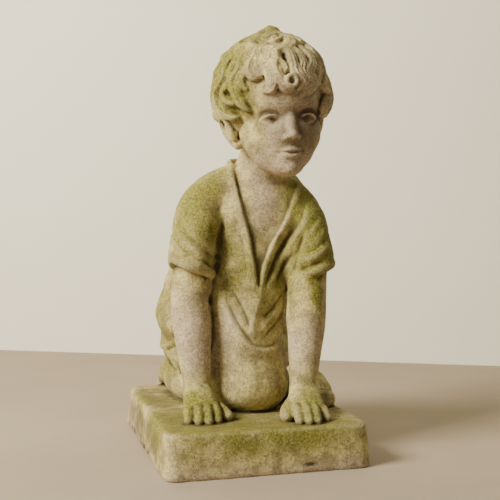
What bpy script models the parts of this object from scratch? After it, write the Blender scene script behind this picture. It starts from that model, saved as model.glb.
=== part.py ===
"""A kneeling child with both hands on the ground, cast in one piece with its plinth.

Metres, +Z up, the front towards -Y, the origin at the centre of the plinth's underside.
The figure is free form. It is modelled in clay: closed forms are laid over each other, joined
into one skin, softened, and then carved with strokes that are drawn on it from one side.
"""

import math

import bmesh
import bpy
import numpy as np
from mathutils import Matrix

FIGURE_HEIGHT = 0.505
PLINTH_WIDTH = 0.262
PLINTH_DEPTH = 0.338
PLINTH_HEIGHT = 0.055
PLINTH_CORNER_RADIUS = 0.016
PLINTH_EDGE_RADIUS = 0.006
PLINTH_DRAFT = 0.003

# The figure's own unit: its height has 505 of them, so one is about a millimetre.
UNITS_HIGH = 505
UNIT = FIGURE_HEIGHT / UNITS_HIGH

KEPT = "kept"
KEPT_WEIGHT = 0.95
KEPT_FACTOR = 8
COARSE_VOXEL = 2.8
FINE_VOXEL = 2.0
MOST_TRIANGLES = 9200
SHARP_ANGLE = math.radians(40)
CORNER_STEPS = 5
EDGE_STEPS = 3
# How far the clay is pressed into the plinth.
SETTLED = 2

# The side that the front is carved from, in degrees from -Y towards +X.
FRONT_VIEW = -15


def unit_vector(v):
    v = np.asarray(v, float)
    return v / np.maximum(np.linalg.norm(v, axis=-1, keepdims=True), 1e-9)


def spline(rows, count):
    """A smooth curve through the rows, as count rows. A row is a place with any sizes beside it."""
    rows = np.asarray(rows, float)
    rows = np.vstack([2 * rows[0] - rows[1], rows, 2 * rows[-1] - rows[-2]])
    along = np.linspace(0, len(rows) - 3, count)
    first = np.minimum(along.astype(int), len(rows) - 4)
    t = (along - first)[:, None]
    a, b, c, d = (rows[first + k] for k in range(4))
    return 0.5 * (2 * b + (c - a) * t + (2 * a - 5 * b + 4 * c - d) * t**2 + (3 * b - a - 3 * c + d) * t**3)


def turned(yaw=0, pitch=0, roll=0):
    """A rotation in degrees: yaw about Z, pitch about X, roll about Y."""
    return np.array(
        Matrix.Rotation(math.radians(yaw), 3, "Z")
        @ Matrix.Rotation(math.radians(pitch), 3, "X")
        @ Matrix.Rotation(math.radians(roll), 3, "Y")
    )


def placing(centre, turn, size=1.0):
    """The matrix that places something made about the origin."""
    matrix = np.eye(4)
    matrix[:3, :3] = turn * size
    matrix[:3, 3] = centre
    return Matrix(matrix.tolist())


class Clay:
    """Closed forms in one mesh."""

    def __init__(self):
        self.forms = bmesh.new()

    def ball(self, centre, radii):
        placed = placing(centre, np.diag(radii))
        bmesh.ops.create_icosphere(self.forms, subdivisions=4, radius=1, matrix=placed)

    def tube(self, rows, facing=(0, -1, 0), count=20, sides=16, lobes=0, lobe_depth=0.0, ends=1.0):
        """A form along a smooth path. A row is x, y, z, half the width, half the thickness."""
        rows = spline(rows, count)
        path = rows[:, :3]
        facing = np.broadcast_to(unit_vector(facing), path.shape)
        ahead = unit_vector(np.gradient(path, axis=0))
        side = unit_vector(np.cross(ahead, facing))
        front = np.cross(side, ahead)
        angle = np.linspace(0, 2 * np.pi, sides, endpoint=False)
        swell = 1 + lobe_depth * np.cos(lobes * angle)
        across = (swell * np.cos(angle))[:, None]
        through = (swell * np.sin(angle))[:, None]
        loops = []

        def loop(i, shift, size):
            centre = path[i] + ahead[i] * shift
            loops.append(
                centre + size * (across * side[i] * rows[i, 3] + through * front[i] * rows[i, 4])
            )

        bulge = [math.radians(a) for a in (80, 50, 25)]
        first, last = rows[0, 3:].min() * ends, rows[-1, 3:].min() * ends
        for a in bulge:
            loop(0, -first * math.sin(a), math.cos(a))
        for i in range(count):
            loop(i, 0, 1)
        for a in reversed(bulge):
            loop(-1, last * math.sin(a), math.cos(a))
        self.skin_over(loops)

    def skin_over(self, loops):
        """Lays faces from loop to loop and fills the two ends."""
        rings = [[self.forms.verts.new(p) for p in loop] for loop in loops]
        for low, high in zip(rings, rings[1:]):
            for k in range(len(low)):
                n = (k + 1) % len(low)
                self.forms.faces.new((low[k], low[n], high[n], high[k]))
        self.forms.faces.new(rings[0][::-1])
        self.forms.faces.new(rings[-1])

    def joined(self, voxel, rounds, factor=0.5):
        """One closed skin over all the forms, softened by so many rounds."""
        return remeshed(self.mesh(), voxel, rounds, factor)

    def mesh(self):
        made = bpy.data.meshes.new("clay")
        bmesh.ops.recalc_face_normals(self.forms, faces=self.forms.faces)
        self.forms.to_mesh(made)
        return made

    def take(self, mesh):
        self.forms.from_mesh(mesh)


def evaluated(mesh, modifiers, kept=None):
    """The mesh with the modifiers applied. A modifier is a kind and its settings.

    The kept points make the vertex group KEPT.
    """
    body = bpy.data.objects.new("forming", mesh)
    bpy.context.scene.collection.objects.link(body)
    if kept is not None:
        body.vertex_groups.new(name=KEPT).add(kept, KEPT_WEIGHT, "REPLACE")
    for kind, settings in modifiers:
        modifier = body.modifiers.new(kind, kind)
        for name, value in settings.items():
            setattr(modifier, name, value)
    graph = bpy.context.evaluated_depsgraph_get()
    made = bpy.data.meshes.new_from_object(body.evaluated_get(graph))
    bpy.data.objects.remove(body)
    bpy.data.meshes.remove(mesh)
    return made


def remeshed(mesh, voxel, rounds, factor=0.5):
    smooth = ("SMOOTH", {"factor": factor, "iterations": rounds})
    return outer_skin(evaluated(mesh, [("REMESH", {"mode": "VOXEL", "voxel_size": voxel}), smooth]))


def outer_skin(mesh):
    """The largest connected skin: a void that the forms close in is dropped."""
    ends = np.empty(len(mesh.edges) * 2, np.int32)
    mesh.edges.foreach_get("vertices", ends)
    a, b = ends.reshape(-1, 2).T
    label = np.arange(len(mesh.vertices))
    while True:
        lower = label.copy()
        np.minimum.at(lower, a, label[b])
        np.minimum.at(lower, b, label[a])
        lower = lower[lower]
        if (lower == label).all():
            break
        label = lower
    stray = np.flatnonzero(label != np.bincount(label).argmax())
    if len(stray):
        forms = bmesh.new()
        forms.from_mesh(mesh)
        forms.verts.ensure_lookup_table()
        bmesh.ops.delete(forms, geom=[forms.verts[k] for k in stray], context="VERTS")
        forms.to_mesh(mesh)
        forms.free()
    return mesh


class Surface:
    """A skin's points, for carving. Lengths are in the figure's units."""

    def __init__(self, mesh):
        self.mesh = mesh
        count = len(mesh.vertices)
        flat = np.empty(count * 3)
        mesh.vertices.foreach_get("co", flat)
        self.points = flat.reshape(-1, 3)
        ends = np.empty(len(mesh.edges) * 2, np.int32)
        mesh.edges.foreach_get("vertices", ends)
        self.ends = ends.reshape(-1, 2)
        self.valence = np.maximum(np.bincount(self.ends.ravel(), minlength=count), 1)

    def store(self):
        self.mesh.vertices.foreach_set("co", self.points.ravel())
        self.mesh.update()
        return self.mesh

    def normals(self):
        self.store()
        flat = np.empty(len(self.points) * 3)
        self.mesh.vertex_normals.foreach_get("vector", flat)
        return flat.reshape(-1, 3)

    def averaged(self, values):
        """Each point's mean over its neighbours, of a value or of a place."""
        a, b = self.ends.T
        values = values.reshape(len(self.points), -1)
        total = np.stack(
            [
                np.bincount(a, column[b], len(values)) + np.bincount(b, column[a], len(values))
                for column in values.T
            ],
            axis=1,
        )
        return total / self.valence[:, None]

    def soften(self, rounds, weight):
        for _ in range(rounds):
            self.points += (self.averaged(self.points) - self.points) * weight[:, None]

    def push(self, amount):
        self.points += self.normals() * amount[:, None]


def falloff(distance, width):
    return np.exp(-((distance / width) ** 2))


def line_gap(points, line):
    """For flat points: the distance to a drawn line, the side they are on, and how far along it they are."""
    best = np.full(len(points), np.inf)
    side = np.zeros(len(points))
    share = np.zeros(len(points))
    steps = len(line) - 1
    for k, (a, b) in enumerate(zip(line, line[1:])):
        way = b - a
        length = max(np.linalg.norm(way), 1e-6)
        off = points - a
        t = np.clip(off @ way / length**2, 0, 1)
        gap = np.linalg.norm(off - t[:, None] * way, axis=1)
        nearer = gap < best
        best[nearer] = gap[nearer]
        cross = way[0] * off[:, 1] - way[1] * off[:, 0]
        side[nearer] = np.sign(cross[nearer])
        share[nearer] = ((k + t) / steps)[nearer]
    return best, side, share


STEP_SLOPE = 1.8


def carve(surface, strokes, view):
    """Strokes drawn on the surface from one side. A row is a kind, a width, a depth and a line.

    A groove goes in and a ridge comes out. A step is a cloth's edge: the left of the line stands
    higher than the right by the depth, and falls away from the edge over the width. A patch goes
    in all over the inside of its closed line.
    """
    angle = math.radians(view)
    right = np.array([math.cos(angle), math.sin(angle), 0])
    toward = np.array([math.sin(angle), -math.cos(angle), 0])
    facing = np.clip(surface.normals() @ toward * 3, 0, 1)
    flat = np.stack([surface.points @ right, surface.points[:, 2]], axis=1)
    moved = np.zeros(len(flat))
    for kind, width, depth, line in strokes:
        line = spline(line, 6 * len(line))
        low, high = line.min(axis=0) - 3 * width, line.max(axis=0) + 3 * width
        near = np.flatnonzero((facing > 0) & (flat > low).all(axis=1) & (flat < high).all(axis=1))
        gap, side, share = line_gap(flat[near], line)
        ends = np.clip(np.minimum(share, 1 - share) * 5 + 0.15, 0, 1)
        if kind == "step":
            raised = 0.5 + 0.5 * np.tanh(side * gap / STEP_SLOPE)
            amount = raised * falloff(gap, width) - 0.4 * (1 - raised) * falloff(gap, width * 0.4)
        elif kind == "patch":
            amount = -np.tanh(gap / width) * inside(flat[near], line)
            ends = 1
        else:
            amount = falloff(gap, width) * (1 if kind == "ridge" else -1)
        moved[near] += amount * depth * ends * facing[near]
    surface.push(moved)


def inside(points, line):
    """Whether flat points are inside a closed line, by counting the edges that a level ray crosses."""
    crossed = np.zeros(len(points), bool)
    x, y = points.T
    for (ax, ay), (bx, by) in zip(line, np.roll(line, -1, axis=0)):
        if ay != by:
            crossed ^= ((ay > y) != (by > y)) & (x < ax + (y - ay) * (bx - ax) / (by - ay))
    return crossed


def dent(surface, rows):
    """Soft hollows. A row is a centre, three radii and how far the points move, as a vector."""
    for place, radii, move in rows:
        reach = (((surface.points - place) / radii) ** 2).sum(axis=1)
        surface.points += np.exp(-reach)[:, None] * np.asarray(move, float)


def mirrored(rows):
    """Rows of dents and their copies on the other side of x = 0."""
    flip = np.array([-1, 1, 1])
    return [*rows, *((place * flip, radii, move * flip) for place, radii, move in rows)]


# Places on the body, in the figure's units: x to the viewer's right, y to the back, z up from the plinth.
SHOULDER_R, ELBOW_R, WRIST_R = (-57, -20, 250), (-75, -38, 150), (-69, -62, 36)
SHOULDER_L, ELBOW_L, WRIST_L = (86, -38, 250), (79, -68, 150), (65, -90, 36)
HEAD_CENTRE = (37, -52, 405)
HEAD_TURN = turned(yaw=0, pitch=6, roll=-4)
HEAD_SIZE = 0.94
# The head has a frame of its own: the face looks along -Y and the origin is in the middle.
HAIR_CENTRE = np.array([-0.8, 12, 16])
HAIR_RADII = np.array([71, 88, 77])


# Where the chest's forms are smoothed into one skin.
CHEST = (26, -66, 232)
CHEST_REACH = 44
# The skin that shows in the shirt's opening, up to the neck, drawn from FRONT_VIEW.
OPENING = (
    "patch",
    3,
    3.4,
    [(-10, 340), (-5, 306), (8, 264), (16, 230), (22, 196), (28, 166), (32, 166), (38, 192), (48, 217),
     (62, 241), (74, 264), (84, 300), (80, 350), (30, 360)],
)


def body(voxel):
    """The trunk in its shirt, the limbs and the neck, softened into each other."""
    clay = Clay()
    trunk = [
        (6, 98, 40, 85, 54),
        (4, 90, 84, 94, 60),
        (4, 66, 124, 96, 66),
        (4, 40, 172, 91, 62),
        (9, 10, 214, 80, 56),
        (18, -12, 252, 73, 50),
        (24, -14, 282, 62, 40),
        (30, -8, 306, 44, 30),
    ]
    clay.tube(trunk, facing=(-0.15, -1, 0), count=30, sides=36)
    yoke = [
        (-66, -22, 238, 30, 28),
        (-58, -16, 268, 30, 28),
        (-34, -6, 290, 34, 28),
        (-6, 2, 302, 34, 28),
        (30, 0, 306, 32, 28),
        (62, -12, 290, 32, 27),
        (82, -26, 268, 30, 27),
        (92, -36, 236, 28, 28),
    ]
    clay.tube(yoke, facing=(0, 0, 1), count=28, sides=24)
    clay.ball((16, 8, 256), (68, 42, 44))
    belly = [
        (20, -26, 268, 42, 28),
        (15, -20, 218, 54, 40),
        (9, -14, 168, 58, 52),
        (4, -12, 112, 56, 58),
        (2, -14, 60, 54, 58),
        (2, -20, 30, 44, 44),
    ]
    clay.tube(belly, facing=(-0.1, -1, 0), count=24, sides=30, ends=0.4)
    clay.ball((5, -22, 50), (55, 55, 50))
    clay.ball((7, -40, 31), (51, 46, 36))
    thigh_r = [(-46, 84, 76, 44, 50), (-36, 26, 62, 38, 46), (-18, -22, 48, 32, 42), (-12, -40, 38, 34, 36)]
    thigh_l = [(66, 80, 74, 44, 50), (48, 24, 60, 38, 46), (24, -24, 48, 32, 42), (16, -42, 38, 34, 36)]
    for rows in (thigh_r, thigh_l):
        clay.tube(rows, facing=(0, 0, 1), count=20, sides=24)
    clay.ball((-65, 58, 122), (38, 58, 42))
    calf_r = [(-30, -20, 22, 22, 24), (-56, 36, 30, 28, 32), (-64, 84, 30, 25, 30), (-66, 116, 26, 19, 24)]
    calf_l = [(36, -22, 22, 22, 24), (66, 24, 30, 28, 30), (84, 56, 26, 22, 26), (94, 76, 24, 17, 20)]
    for rows in (calf_r, calf_l):
        clay.tube(rows, facing=(0, 0, 1), count=20, sides=22)
    for shoulder, elbow, wrist in ((SHOULDER_R, ELBOW_R, WRIST_R), (SHOULDER_L, ELBOW_L, WRIST_L)):
        clay.tube(arm_rows(shoulder, elbow, wrist), count=30, sides=22)
    neck = [(29, -2, 296, 46, 36), (32, -14, 322, 38, 36), (37, -30, 352, 36, 36)]
    clay.tube(neck, sides=24)
    skin = Surface(clay.joined(voxel, rounds=16))
    skin.soften(40, falloff(np.linalg.norm(skin.points - CHEST, axis=1), CHEST_REACH))
    carve(skin, [OPENING], FRONT_VIEW)
    return skin.store()


def arm_rows(shoulder, elbow, wrist):
    """A child's straight arm: full at the shoulder, dimpled at the elbow, round in the forearm."""
    shoulder, elbow, wrist = (np.asarray(p, float) for p in (shoulder, elbow, wrist))

    def at(a, b, share, wide, thick):
        return (*(a + (b - a) * share), wide, thick)

    return [
        at(shoulder, elbow, 0, 29, 33),
        at(shoulder, elbow, 0.35, 29, 31),
        at(shoulder, elbow, 0.8, 26, 27),
        at(elbow, wrist, 0, 25, 26),
        at(elbow, wrist, 0.28, 25.5, 26),
        at(elbow, wrist, 0.7, 21, 21),
        at(elbow, wrist, 1, 18.5, 16),
    ]


def ring(centre, wide, deep, tilt, size, waves=0.0):
    """Rows of a roll of cloth round a limb: higher at one side by the tilt."""
    rows = []
    for k in range(13):
        angle = 2 * math.pi * k / 12
        swell = 1 + waves * math.sin(3 * angle + 1)
        x, y = math.cos(angle), math.sin(angle)
        place = (centre[0] + wide * x, centre[1] + deep * y, centre[2] + tilt * x)
        rows.append((*place, size * swell, size * swell * 1.25))
    return rows


# The shirt's neckline round the back of the neck, from one side of the opening to the other.
COLLAR = (
    (-9, -8, 325, 3.5, 3.5),
    (-9, 4, 331, 4.5, 6),
    (4, 21, 333, 4.5, 6.5),
    (32, 28, 331, 4.5, 6.5),
    (60, 20, 325, 4.5, 6.5),
    (79, 2, 314, 4.5, 6),
    (86, -14, 302, 4, 4.5),
)


SLEEVE_R = (
    (-58, -20, 250, 29, 33),
    (-66, -30, 228, 31, 34),
    (-72, -38, 205, 31, 33),
    (-74, -42, 194, 29, 32),
)
SLEEVE_L = (
    (84, -36, 250, 29, 33),
    (86, -48, 224, 30, 35),
    (88, -58, 200, 30, 33),
    (90, -62, 190, 28, 31),
)


def sleeves(clay):
    for rows in (SLEEVE_R, SLEEVE_L):
        clay.tube(rows, count=16, sides=32, ends=0.1)
    clay.tube(ring((-72, -42, 194), 25, 27, -10, 6.2, 0.12), facing=(0, 0, 1), count=48, sides=14)
    clay.tube(ring((89, -62, 190), 23.5, 26, 7, 6.2, 0.12), facing=(0, 0, 1), count=48, sides=14)
    clay.tube(COLLAR, facing=(0, 0, 1), count=40, sides=14, ends=2)


def hand(clay, wrist, knuckles, tips, thumb):
    """A small flat hand: the back of it falls from the wrist to four knuckles, and the fingers lie down."""
    wrist = np.asarray(wrist, float)
    middle = np.mean(knuckles, axis=0)
    ahead = unit_vector(middle - wrist)
    back = [
        (*(wrist + (0, 4, 10)), 16.5, 14),
        (*(wrist + (0, 1, 0)), 18.5, 14),
        (*(wrist + (middle - wrist) * 0.45 + (0, 0, 1)), 21.5, 12.5),
        (*(middle + ahead * -2), 23, 9.5),
    ]
    clay.tube(back, facing=(0, -0.3, 1), count=14, sides=24)
    for knuckle, tip in zip(knuckles, tips):
        knuckle, tip = np.asarray(knuckle, float), np.asarray(tip, float)
        bend = knuckle + (tip - knuckle) * 0.5 + (0, 0, 3.2)
        start = knuckle + (wrist - knuckle) * 0.35
        finger = [(*start, 6.6, 7.5), (*knuckle, 7.2, 8), (*bend, 6.7, 7), (*tip, 5.9, 5.8)]
        clay.tube(finger, facing=(0, 0, 1), count=14, sides=14)
        clay.ball(bend, (7.1, 6.4, 7.2))
    clay.tube(thumb, facing=(0, 0, 1), count=14, sides=14)


def foot(clay, rows, toes):
    clay.tube(rows, facing=(0, 0, 1), count=18, sides=16)
    for toe in toes:
        clay.ball(toe[:3], toe[3:])


def hands_and_feet(clay):
    hand(
        clay,
        WRIST_R,
        [(-88, -96, 14), (-77, -99, 17), (-66, -100, 18), (-55, -97, 17)],
        [(-91, -110, 6), (-79, -117, 6), (-67, -119, 6), (-55, -115, 6)],
        [(-54, -72, 20, 9, 9), (-45, -90, 12, 9, 9), (-39, -104, 8, 7.5, 7)],
    )
    hand(
        clay,
        WRIST_L,
        [(43, -126, 17), (54, -129, 18), (65, -128, 17), (76, -122, 14)],
        [(42, -146, 6), (53.5, -150, 6), (64, -149.5, 6), (81, -138, 6)],
        [(49, -102, 20, 11, 10), (37, -117, 13, 11, 10), (31, -129, 9, 9, 8)],
    )
    foot(
        clay,
        [(-66, 114, 32, 19, 26), (-66, 140, 22, 20, 18), (-64, 156, 11, 20, 9)],
        [(-80 + 9 * k, 158, 8, 5, 6, 6) for k in range(4)],
    )
    foot(
        clay,
        [(90, 76, 28, 21, 26), (101, 40, 27, 21, 25), (107, 0, 24, 20, 22), (107, -36, 18, 19, 17)],
        [
            (98, -58, 14, 9, 14, 12),
            (107, -59, 13, 8.5, 14, 12),
            (115, -54, 12, 7.5, 13, 11),
            (120, -44, 10, 6.5, 12, 9),
        ],
    )


# Soft hollows beside the nose and the brow, then on the middle line: a place, a reach each way and a push.
SIDE_HOLLOWS = (((26, -72, -14), (15, 30, 9), (0, 7, 0)), ((54, -50, 10), (14, 30, 22), (-2.5, 2, 0)))
MIDDLE_HOLLOWS = (((0, -76, -8), (11, 24, 10), (0, 1.5, 0)), ((0, -76, -75), (18, 20, 4), (0, 1.5, 0)))
NOSE = ((0, -64, 2, 9, 8), (0, -69, -14, 8.5, 8), (0, -75.5, -28, 8.5, 8), (0, -79, -38, 9, 8))
BROW = ((9, -68, 1, 4, 4), (26, -68, 5, 4.5, 5), (41, -57, 0, 4, 4))


def other_side(side):
    """What rows of a place and two sizes are multiplied by to lie on the side 1 or -1."""
    return np.array([side, 1, 1, 1, 1])


def head_base(voxel, fine):
    """The skull, the cheeks and the nose, with hollows for the eyes."""
    clay = Clay()
    clay.ball((0, 12, 18), (67, 82, 68))
    clay.ball((0, -30, 12), (58, 50, 60))
    clay.ball((0, -24, -34), (57, 55, 54))
    clay.ball((0, -28, -58), (45, 48, 38))
    for side in (-1, 1):
        clay.ball((side * 26, -40, -40), (27, 28, 29))
    clay.ball((0, -50, -74), (27, 27, 24))
    skin = Surface(clay.joined(voxel, rounds=18))
    dent(skin, mirrored(SIDE_HOLLOWS) + list(MIDDLE_HOLLOWS))
    clay = Clay()
    clay.take(skin.store())
    clay.tube(NOSE, count=14, sides=20)
    clay.ball((0, -58, -60), (25, 17.5, 17))
    clay.ball((0, -62, -83), (14, 15.5, 11))
    for side in (-1, 1):
        clay.tube(BROW * other_side(side), count=12, sides=12)
    return clay.joined(fine, rounds=18)


# The lids and the lips on one side, from the middle outwards.
UPPER_LID = ((13, -64, -20), (17.5, -68.8, -15.4), (25, -71, -12.4), (33, -68.2, -13.8), (39, -61, -18.5))
LOWER_LID = ((13, -64.5, -20.5), (19, -68.4, -23.4), (26, -69.4, -24.4), (33, -66.4, -22.8), (39, -61, -19))
LIPS = (
    (
        (17, -68.5, -61.5, 1.6, 1.5),
        (9, -74.6, -59.6, 3, 3.1),
        (2.8, -76.6, -58.2, 3.2, 3.4),
        (0, -76.2, -59.2, 3.2, 3.3),
    ),
    ((15.5, -68.5, -63, 1.5, 1.5), (8, -73.8, -65.4, 3.4, 3.7), (0, -75.4, -66.2, 3.8, 4.1)),
)


def face(clay):
    """A small child's features, to the usual proportions, laid on the head's base."""
    clay.ball((0, -82.5, -39), (7.6, 7, 6.8))
    for side in (-1, 1):
        clay.ball((side * 8, -78.5, -41.5), (5, 5.8, 4.6))
        clay.ball((side * 26, -57, -18), (12.5, 12.3, 12.5))
        for line, wide, thick in ((UPPER_LID, 2.1, 2), (LOWER_LID, 1.7, 1.7)):
            clay.tube([(side * x, y, z, wide, thick) for x, y, z in line], count=20, sides=12)
        for rows in LIPS:
            clay.tube(rows * other_side(side), count=14, sides=12)


def iris(side):
    turns = np.radians(np.arange(0, 361, 30))
    return [(side * 26 + 4.6 * math.cos(a), -18 + 4.6 * math.sin(a)) for a in turns]


def ear(clay, side):
    """A rim round a shallow bowl, with a lobe below."""
    rim = [
        (61, -6, -44),
        (66, -7, -32),
        (71, 1, -18),
        (74, 12, -13),
        (73, 21, -20),
        (68, 18, -36),
        (61, 8, -49),
        (56, 0, -55),
    ]
    clay.tube([(side * x, y, z, 3.2, 3.6) for x, y, z in rim], facing=(1, 0, 0), count=32, sides=12)
    fold = [(64, 2, -24), (68, 9, -24), (67, 12, -31), (62, 6, -40)]
    clay.tube([(side * x, y, z, 2.2, 2.4) for x, y, z in fold], facing=(1, 0, 0), count=16, sides=10)
    clay.ball((side * 59, 7, -32), (9, 13, 18))
    clay.ball((side * 60, -5, -37), (4.5, 4, 5.5))
    clay.ball((side * 54, 1, -50), (8, 9, 9))


def all_locks():
    """Every lock as its width, thickness, line and seed: the rows, then those set by hand."""
    chance = np.random.default_rng(5)
    seed = len(OWN_LOCKS)
    for count, top, bottom, (first, last), wide, lift in LOCK_ROWS:
        for k in range(round(count)):
            theta = first + (last - first) * (k + 0.5 + chance.uniform(-0.2, 0.2)) / count
            fall = (bottom - top) * chance.uniform(0.85, 1.15)
            way = -1 if (k + top) // WAVE_GROUP % 2 else 1
            sway = way * chance.uniform(9, 14)
            hook = way * chance.uniform(4, 20)
            line = [
                (theta, top, lift - 3),
                (theta + sway, top + fall * 0.3, lift),
                (theta - sway * 0.5, top + fall * 0.6, lift + 1),
                (theta + sway * 0.3, top + fall * 0.9, lift + chance.uniform(1, 4)),
                (theta + sway * 0.3 + hook, top + fall * chance.uniform(0.86, 1.04), lift),
            ]
            seed += 1
            yield wide * chance.uniform(0.75, 1.1), LOCK_THICKNESS, line, seed
    for seed, (wide, thick, line) in enumerate(OWN_LOCKS):
        yield wide, thick, line, seed


def lock_path(line, chance):
    """A waving path over the hair: its places, the ways out of it and across the path, and its swell."""
    line = spline(line, 4 * len(line))
    share = np.linspace(0, 1, len(line))
    swell = np.interp(share, (0, 0.2, 0.5, 0.8, 1), (0.6, 0.95, 1.05, 0.85, 0.25))
    path = on_hair(line[:, 0], line[:, 1], line[:, 2])
    out = unit_vector(path - HAIR_CENTRE)
    across = unit_vector(np.cross(np.gradient(path, axis=0), out))
    wave = LOCK_WAVE * np.sin(2 * math.pi * (1.6 * share + chance.uniform()))
    return path + across * (wave * np.interp(share, (0, 0.2, 1), (0.2, 1, 1)))[:, None], out, across, swell


def on_hair(theta, phi, lift):
    """A place on the hair: theta turns from the face to the child's left, phi falls from the crown."""
    theta, phi = np.radians(theta), np.radians(phi)
    way = np.stack([np.sin(phi) * np.sin(theta), -np.sin(phi) * np.cos(theta), np.cos(phi)], axis=-1)
    return HAIR_CENTRE + way * (HAIR_RADII + np.asarray(lift, float)[..., None])


def lock(clay, wide, thick, line, seed):
    """A tapering, waving lock along rows of theta, phi and lift."""
    path, out, _, swell = lock_path(line, np.random.default_rng(seed))
    rows = np.column_stack([path - out, wide * swell, thick * 0.72 * (0.3 + 0.7 * swell)])
    clay.tube(rows, facing=out[len(out) // 2], count=22, sides=18, lobes=3, lobe_depth=0.1)


# How far a lock waves to its sides, and a usual lock's thickness.
LOCK_WAVE = 1.7
LOCK_THICKNESS = 8
# Each row of locks: how many, the falls from the crown they span, the sides they cover, width and lift.
LOCK_ROWS = (
    (10, 8, 40, (-170, 180), 9, 6),
    (12, 24, 60, (66, 262), 9, 7),
    (14, 42, 80, (72, 258), 9, 6.5),
    (14, 60, 98, (76, 258), 9, 6),
    (14, 78, 114, (80, 256), 9, 5),
    (12, 98, 128, (96, 256), 9, 3),
)

# Locks that are set by hand: width, thickness, and the line as theta, phi and lift.
OWN_LOCKS = (
    (8, 8, [(-64, 18, 3), (-60, 10, 8), (-13, 6, 14), (39, 10, 10), (50, 16, 6)]),
    (7, 7, [(-43, 24, 6), (-45, 9, 10), (30, 8, 12), (50, 14, 7)]),
    (7, 7, [(46, 12, 9), (-7, 20, 10), (-24, 26, 9), (-46, 24, 6)]),
    (8, 7, [(-25, 21, 7), (-49, 30, 9), (-63, 39, 9), (-70, 50, 7)]),
    (8, 7, [(46, 12, 7), (22, 26, 9), (12, 40, 9), (-4, 50, 8)]),
    (9, 8, [(-73, 32, 6), (-91, 48, 8), (-106, 60, 9), (-108, 72, 10), (-94, 82, 9), (-112, 92, 8)]),
    (9, 8, [(-84, 76, 8), (-102, 86, 10), (-114, 97, 11), (-112, 108, 12), (-96, 114, 9)]),
    (9, 8, [(-56, 36, 6), (-71, 49, 8), (-80, 61, 8), (-77, 74, 9), (-89, 86, 11), (-86, 98, 12),
            (-74, 107, 12), (-58, 110, 9)]),
    (7, 7, [(-45, 39, 6), (-60, 51, 8), (-66, 65, 9), (-63, 78, 9), (-72, 88, 10), (-66, 97, 10),
            (-54, 99, 8)]),
    (8, 8, [(-40, 40, 6), (-51, 54, 8), (-53, 67, 9), (-61, 78, 9), (-56, 90, 9), (-48, 99, 8),
            (-43, 105, 5)]),
    (7, 7, [(-34, 40, 7), (-43, 54, 8), (-49, 66, 8), (-50, 77, 7), (-45, 86, 5)]),
    (8, 7, [(-29, 38, 7), (-37, 53, 9), (-41, 64, 9), (-36, 72, 9), (-29, 75, 7)]),
    (8, 8, [(-23, 40, 7), (-27, 55, 9), (-21, 67, 10), (-17, 77, 10), (-20, 85, 9), (-28, 86, 6)]),
    (6, 6, [(-27, 36, 7), (-33, 49, 9), (-32, 61, 9), (-25, 70, 9)]),
    (8, 8, [(-17, 42, 7), (-11, 56, 9), (-15, 67, 9), (-12, 77, 10), (-5, 84, 9), (3, 86, 7)]),
    (7, 7, [(-3, 42, 7), (-14, 50, 9), (-13, 60, 9), (-6, 67, 8), (-6, 74, 7)]),
    (7, 8, [(-1, 42, 8), (6, 53, 9), (8, 63, 9), (7, 73, 10), (13, 80, 10), (9, 88, 7)]),
    (7, 8, [(11, 42, 7), (19, 53, 9), (20, 62, 9), (14, 71, 10), (19, 80, 10), (17, 90, 7), (11, 93, 5)]),
    (7, 8, [(28, 42, 7), (33, 53, 9), (32, 64, 9), (24, 73, 10), (27, 82, 9), (20, 92, 6)]),
    (9, 8, [(52, 16, 4), (58, 27, 7), (58, 40, 7), (47, 53, 9), (46, 64, 9), (34, 74, 9), (35, 84, 7)]),
    (9, 8, [(62, 20, 4), (70, 34, 6), (70, 48, 7), (64, 60, 7), (66, 70, 7), (50, 79, 8), (56, 88, 6)]),
    (10, 9, [(62, 74, 7), (72, 86, 9), (66, 97, 11), (68, 107, 10), (52, 116, 7)]),
    (8, 8, [(46, 84, 7), (56, 94, 10), (48, 104, 11), (42, 113, 7)]),
)

# The ring of hair over the forehead: theta, phi, lift and radius.
CURL = (0, 80, 13, 6.5)
# So many neighbouring locks wave the same way.
WAVE_GROUP = 4


def curl(clay, theta, phi, lift, radius):
    """A small ring of hair that lies flat on the hair."""
    turns = np.radians(np.arange(0, 380, 30))
    spread = radius / HAIR_RADII.mean()
    line = [
        on_hair(theta + math.degrees(spread * math.cos(a)), phi + math.degrees(spread * math.sin(a)), lift)
        for a in turns
    ]
    rows = np.column_stack([line, np.full(len(line), 3.2), np.full(len(line), 3.6)])
    clay.tube(rows, facing=unit_vector(line[0] - HAIR_CENTRE), count=30, sides=10)


def hair(clay):
    """A cap of hair with locks laid over it."""
    clay.ball(HAIR_CENTRE + (0, 5, 4), HAIR_RADII + (6.5, 5, 7))
    clay.ball((0, 38, -6), (67, 60, 55))
    for side in (-1, 1):
        clay.ball((side * 60, 12, 6), (20, 30, 28))
    for wide, thick, line, seed in all_locks():
        lock(clay, wide, thick, line, seed)
    curl(clay, *CURL)


def head(coarse, fine):
    """The head in its place on the neck, still as separate forms."""
    clay = Clay()
    clay.take(head_base(coarse, fine))
    face(clay)
    for side in (-1, 1):
        ear(clay, side)
    hair(clay)
    made = clay.mesh()
    made.transform(placing(HEAD_CENTRE, HEAD_TURN, HEAD_SIZE))
    return made


LID_FOLD = ((13, -15), (18, -8.5), (26, -5.5), (35, -8), (42, -14))
# Drawn on the face from its front, before the head is turned.
FACE_STROKES = (
    ("groove", 1.5, 1.7, [(-16, -61.6), (-9, -61.6), (0, -63), (9, -61.6), (16, -61.6)]),
    ("groove", 2.2, 0.8, [(0, -50.5), (0, -55)]),
    *(("groove", 1.5, 0.9, [(side * x, z) for x, z in LID_FOLD]) for side in (-1, 1)),
    *(("groove", 1.2, 0.8, iris(side)) for side in (-1, 1)),
)


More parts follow.
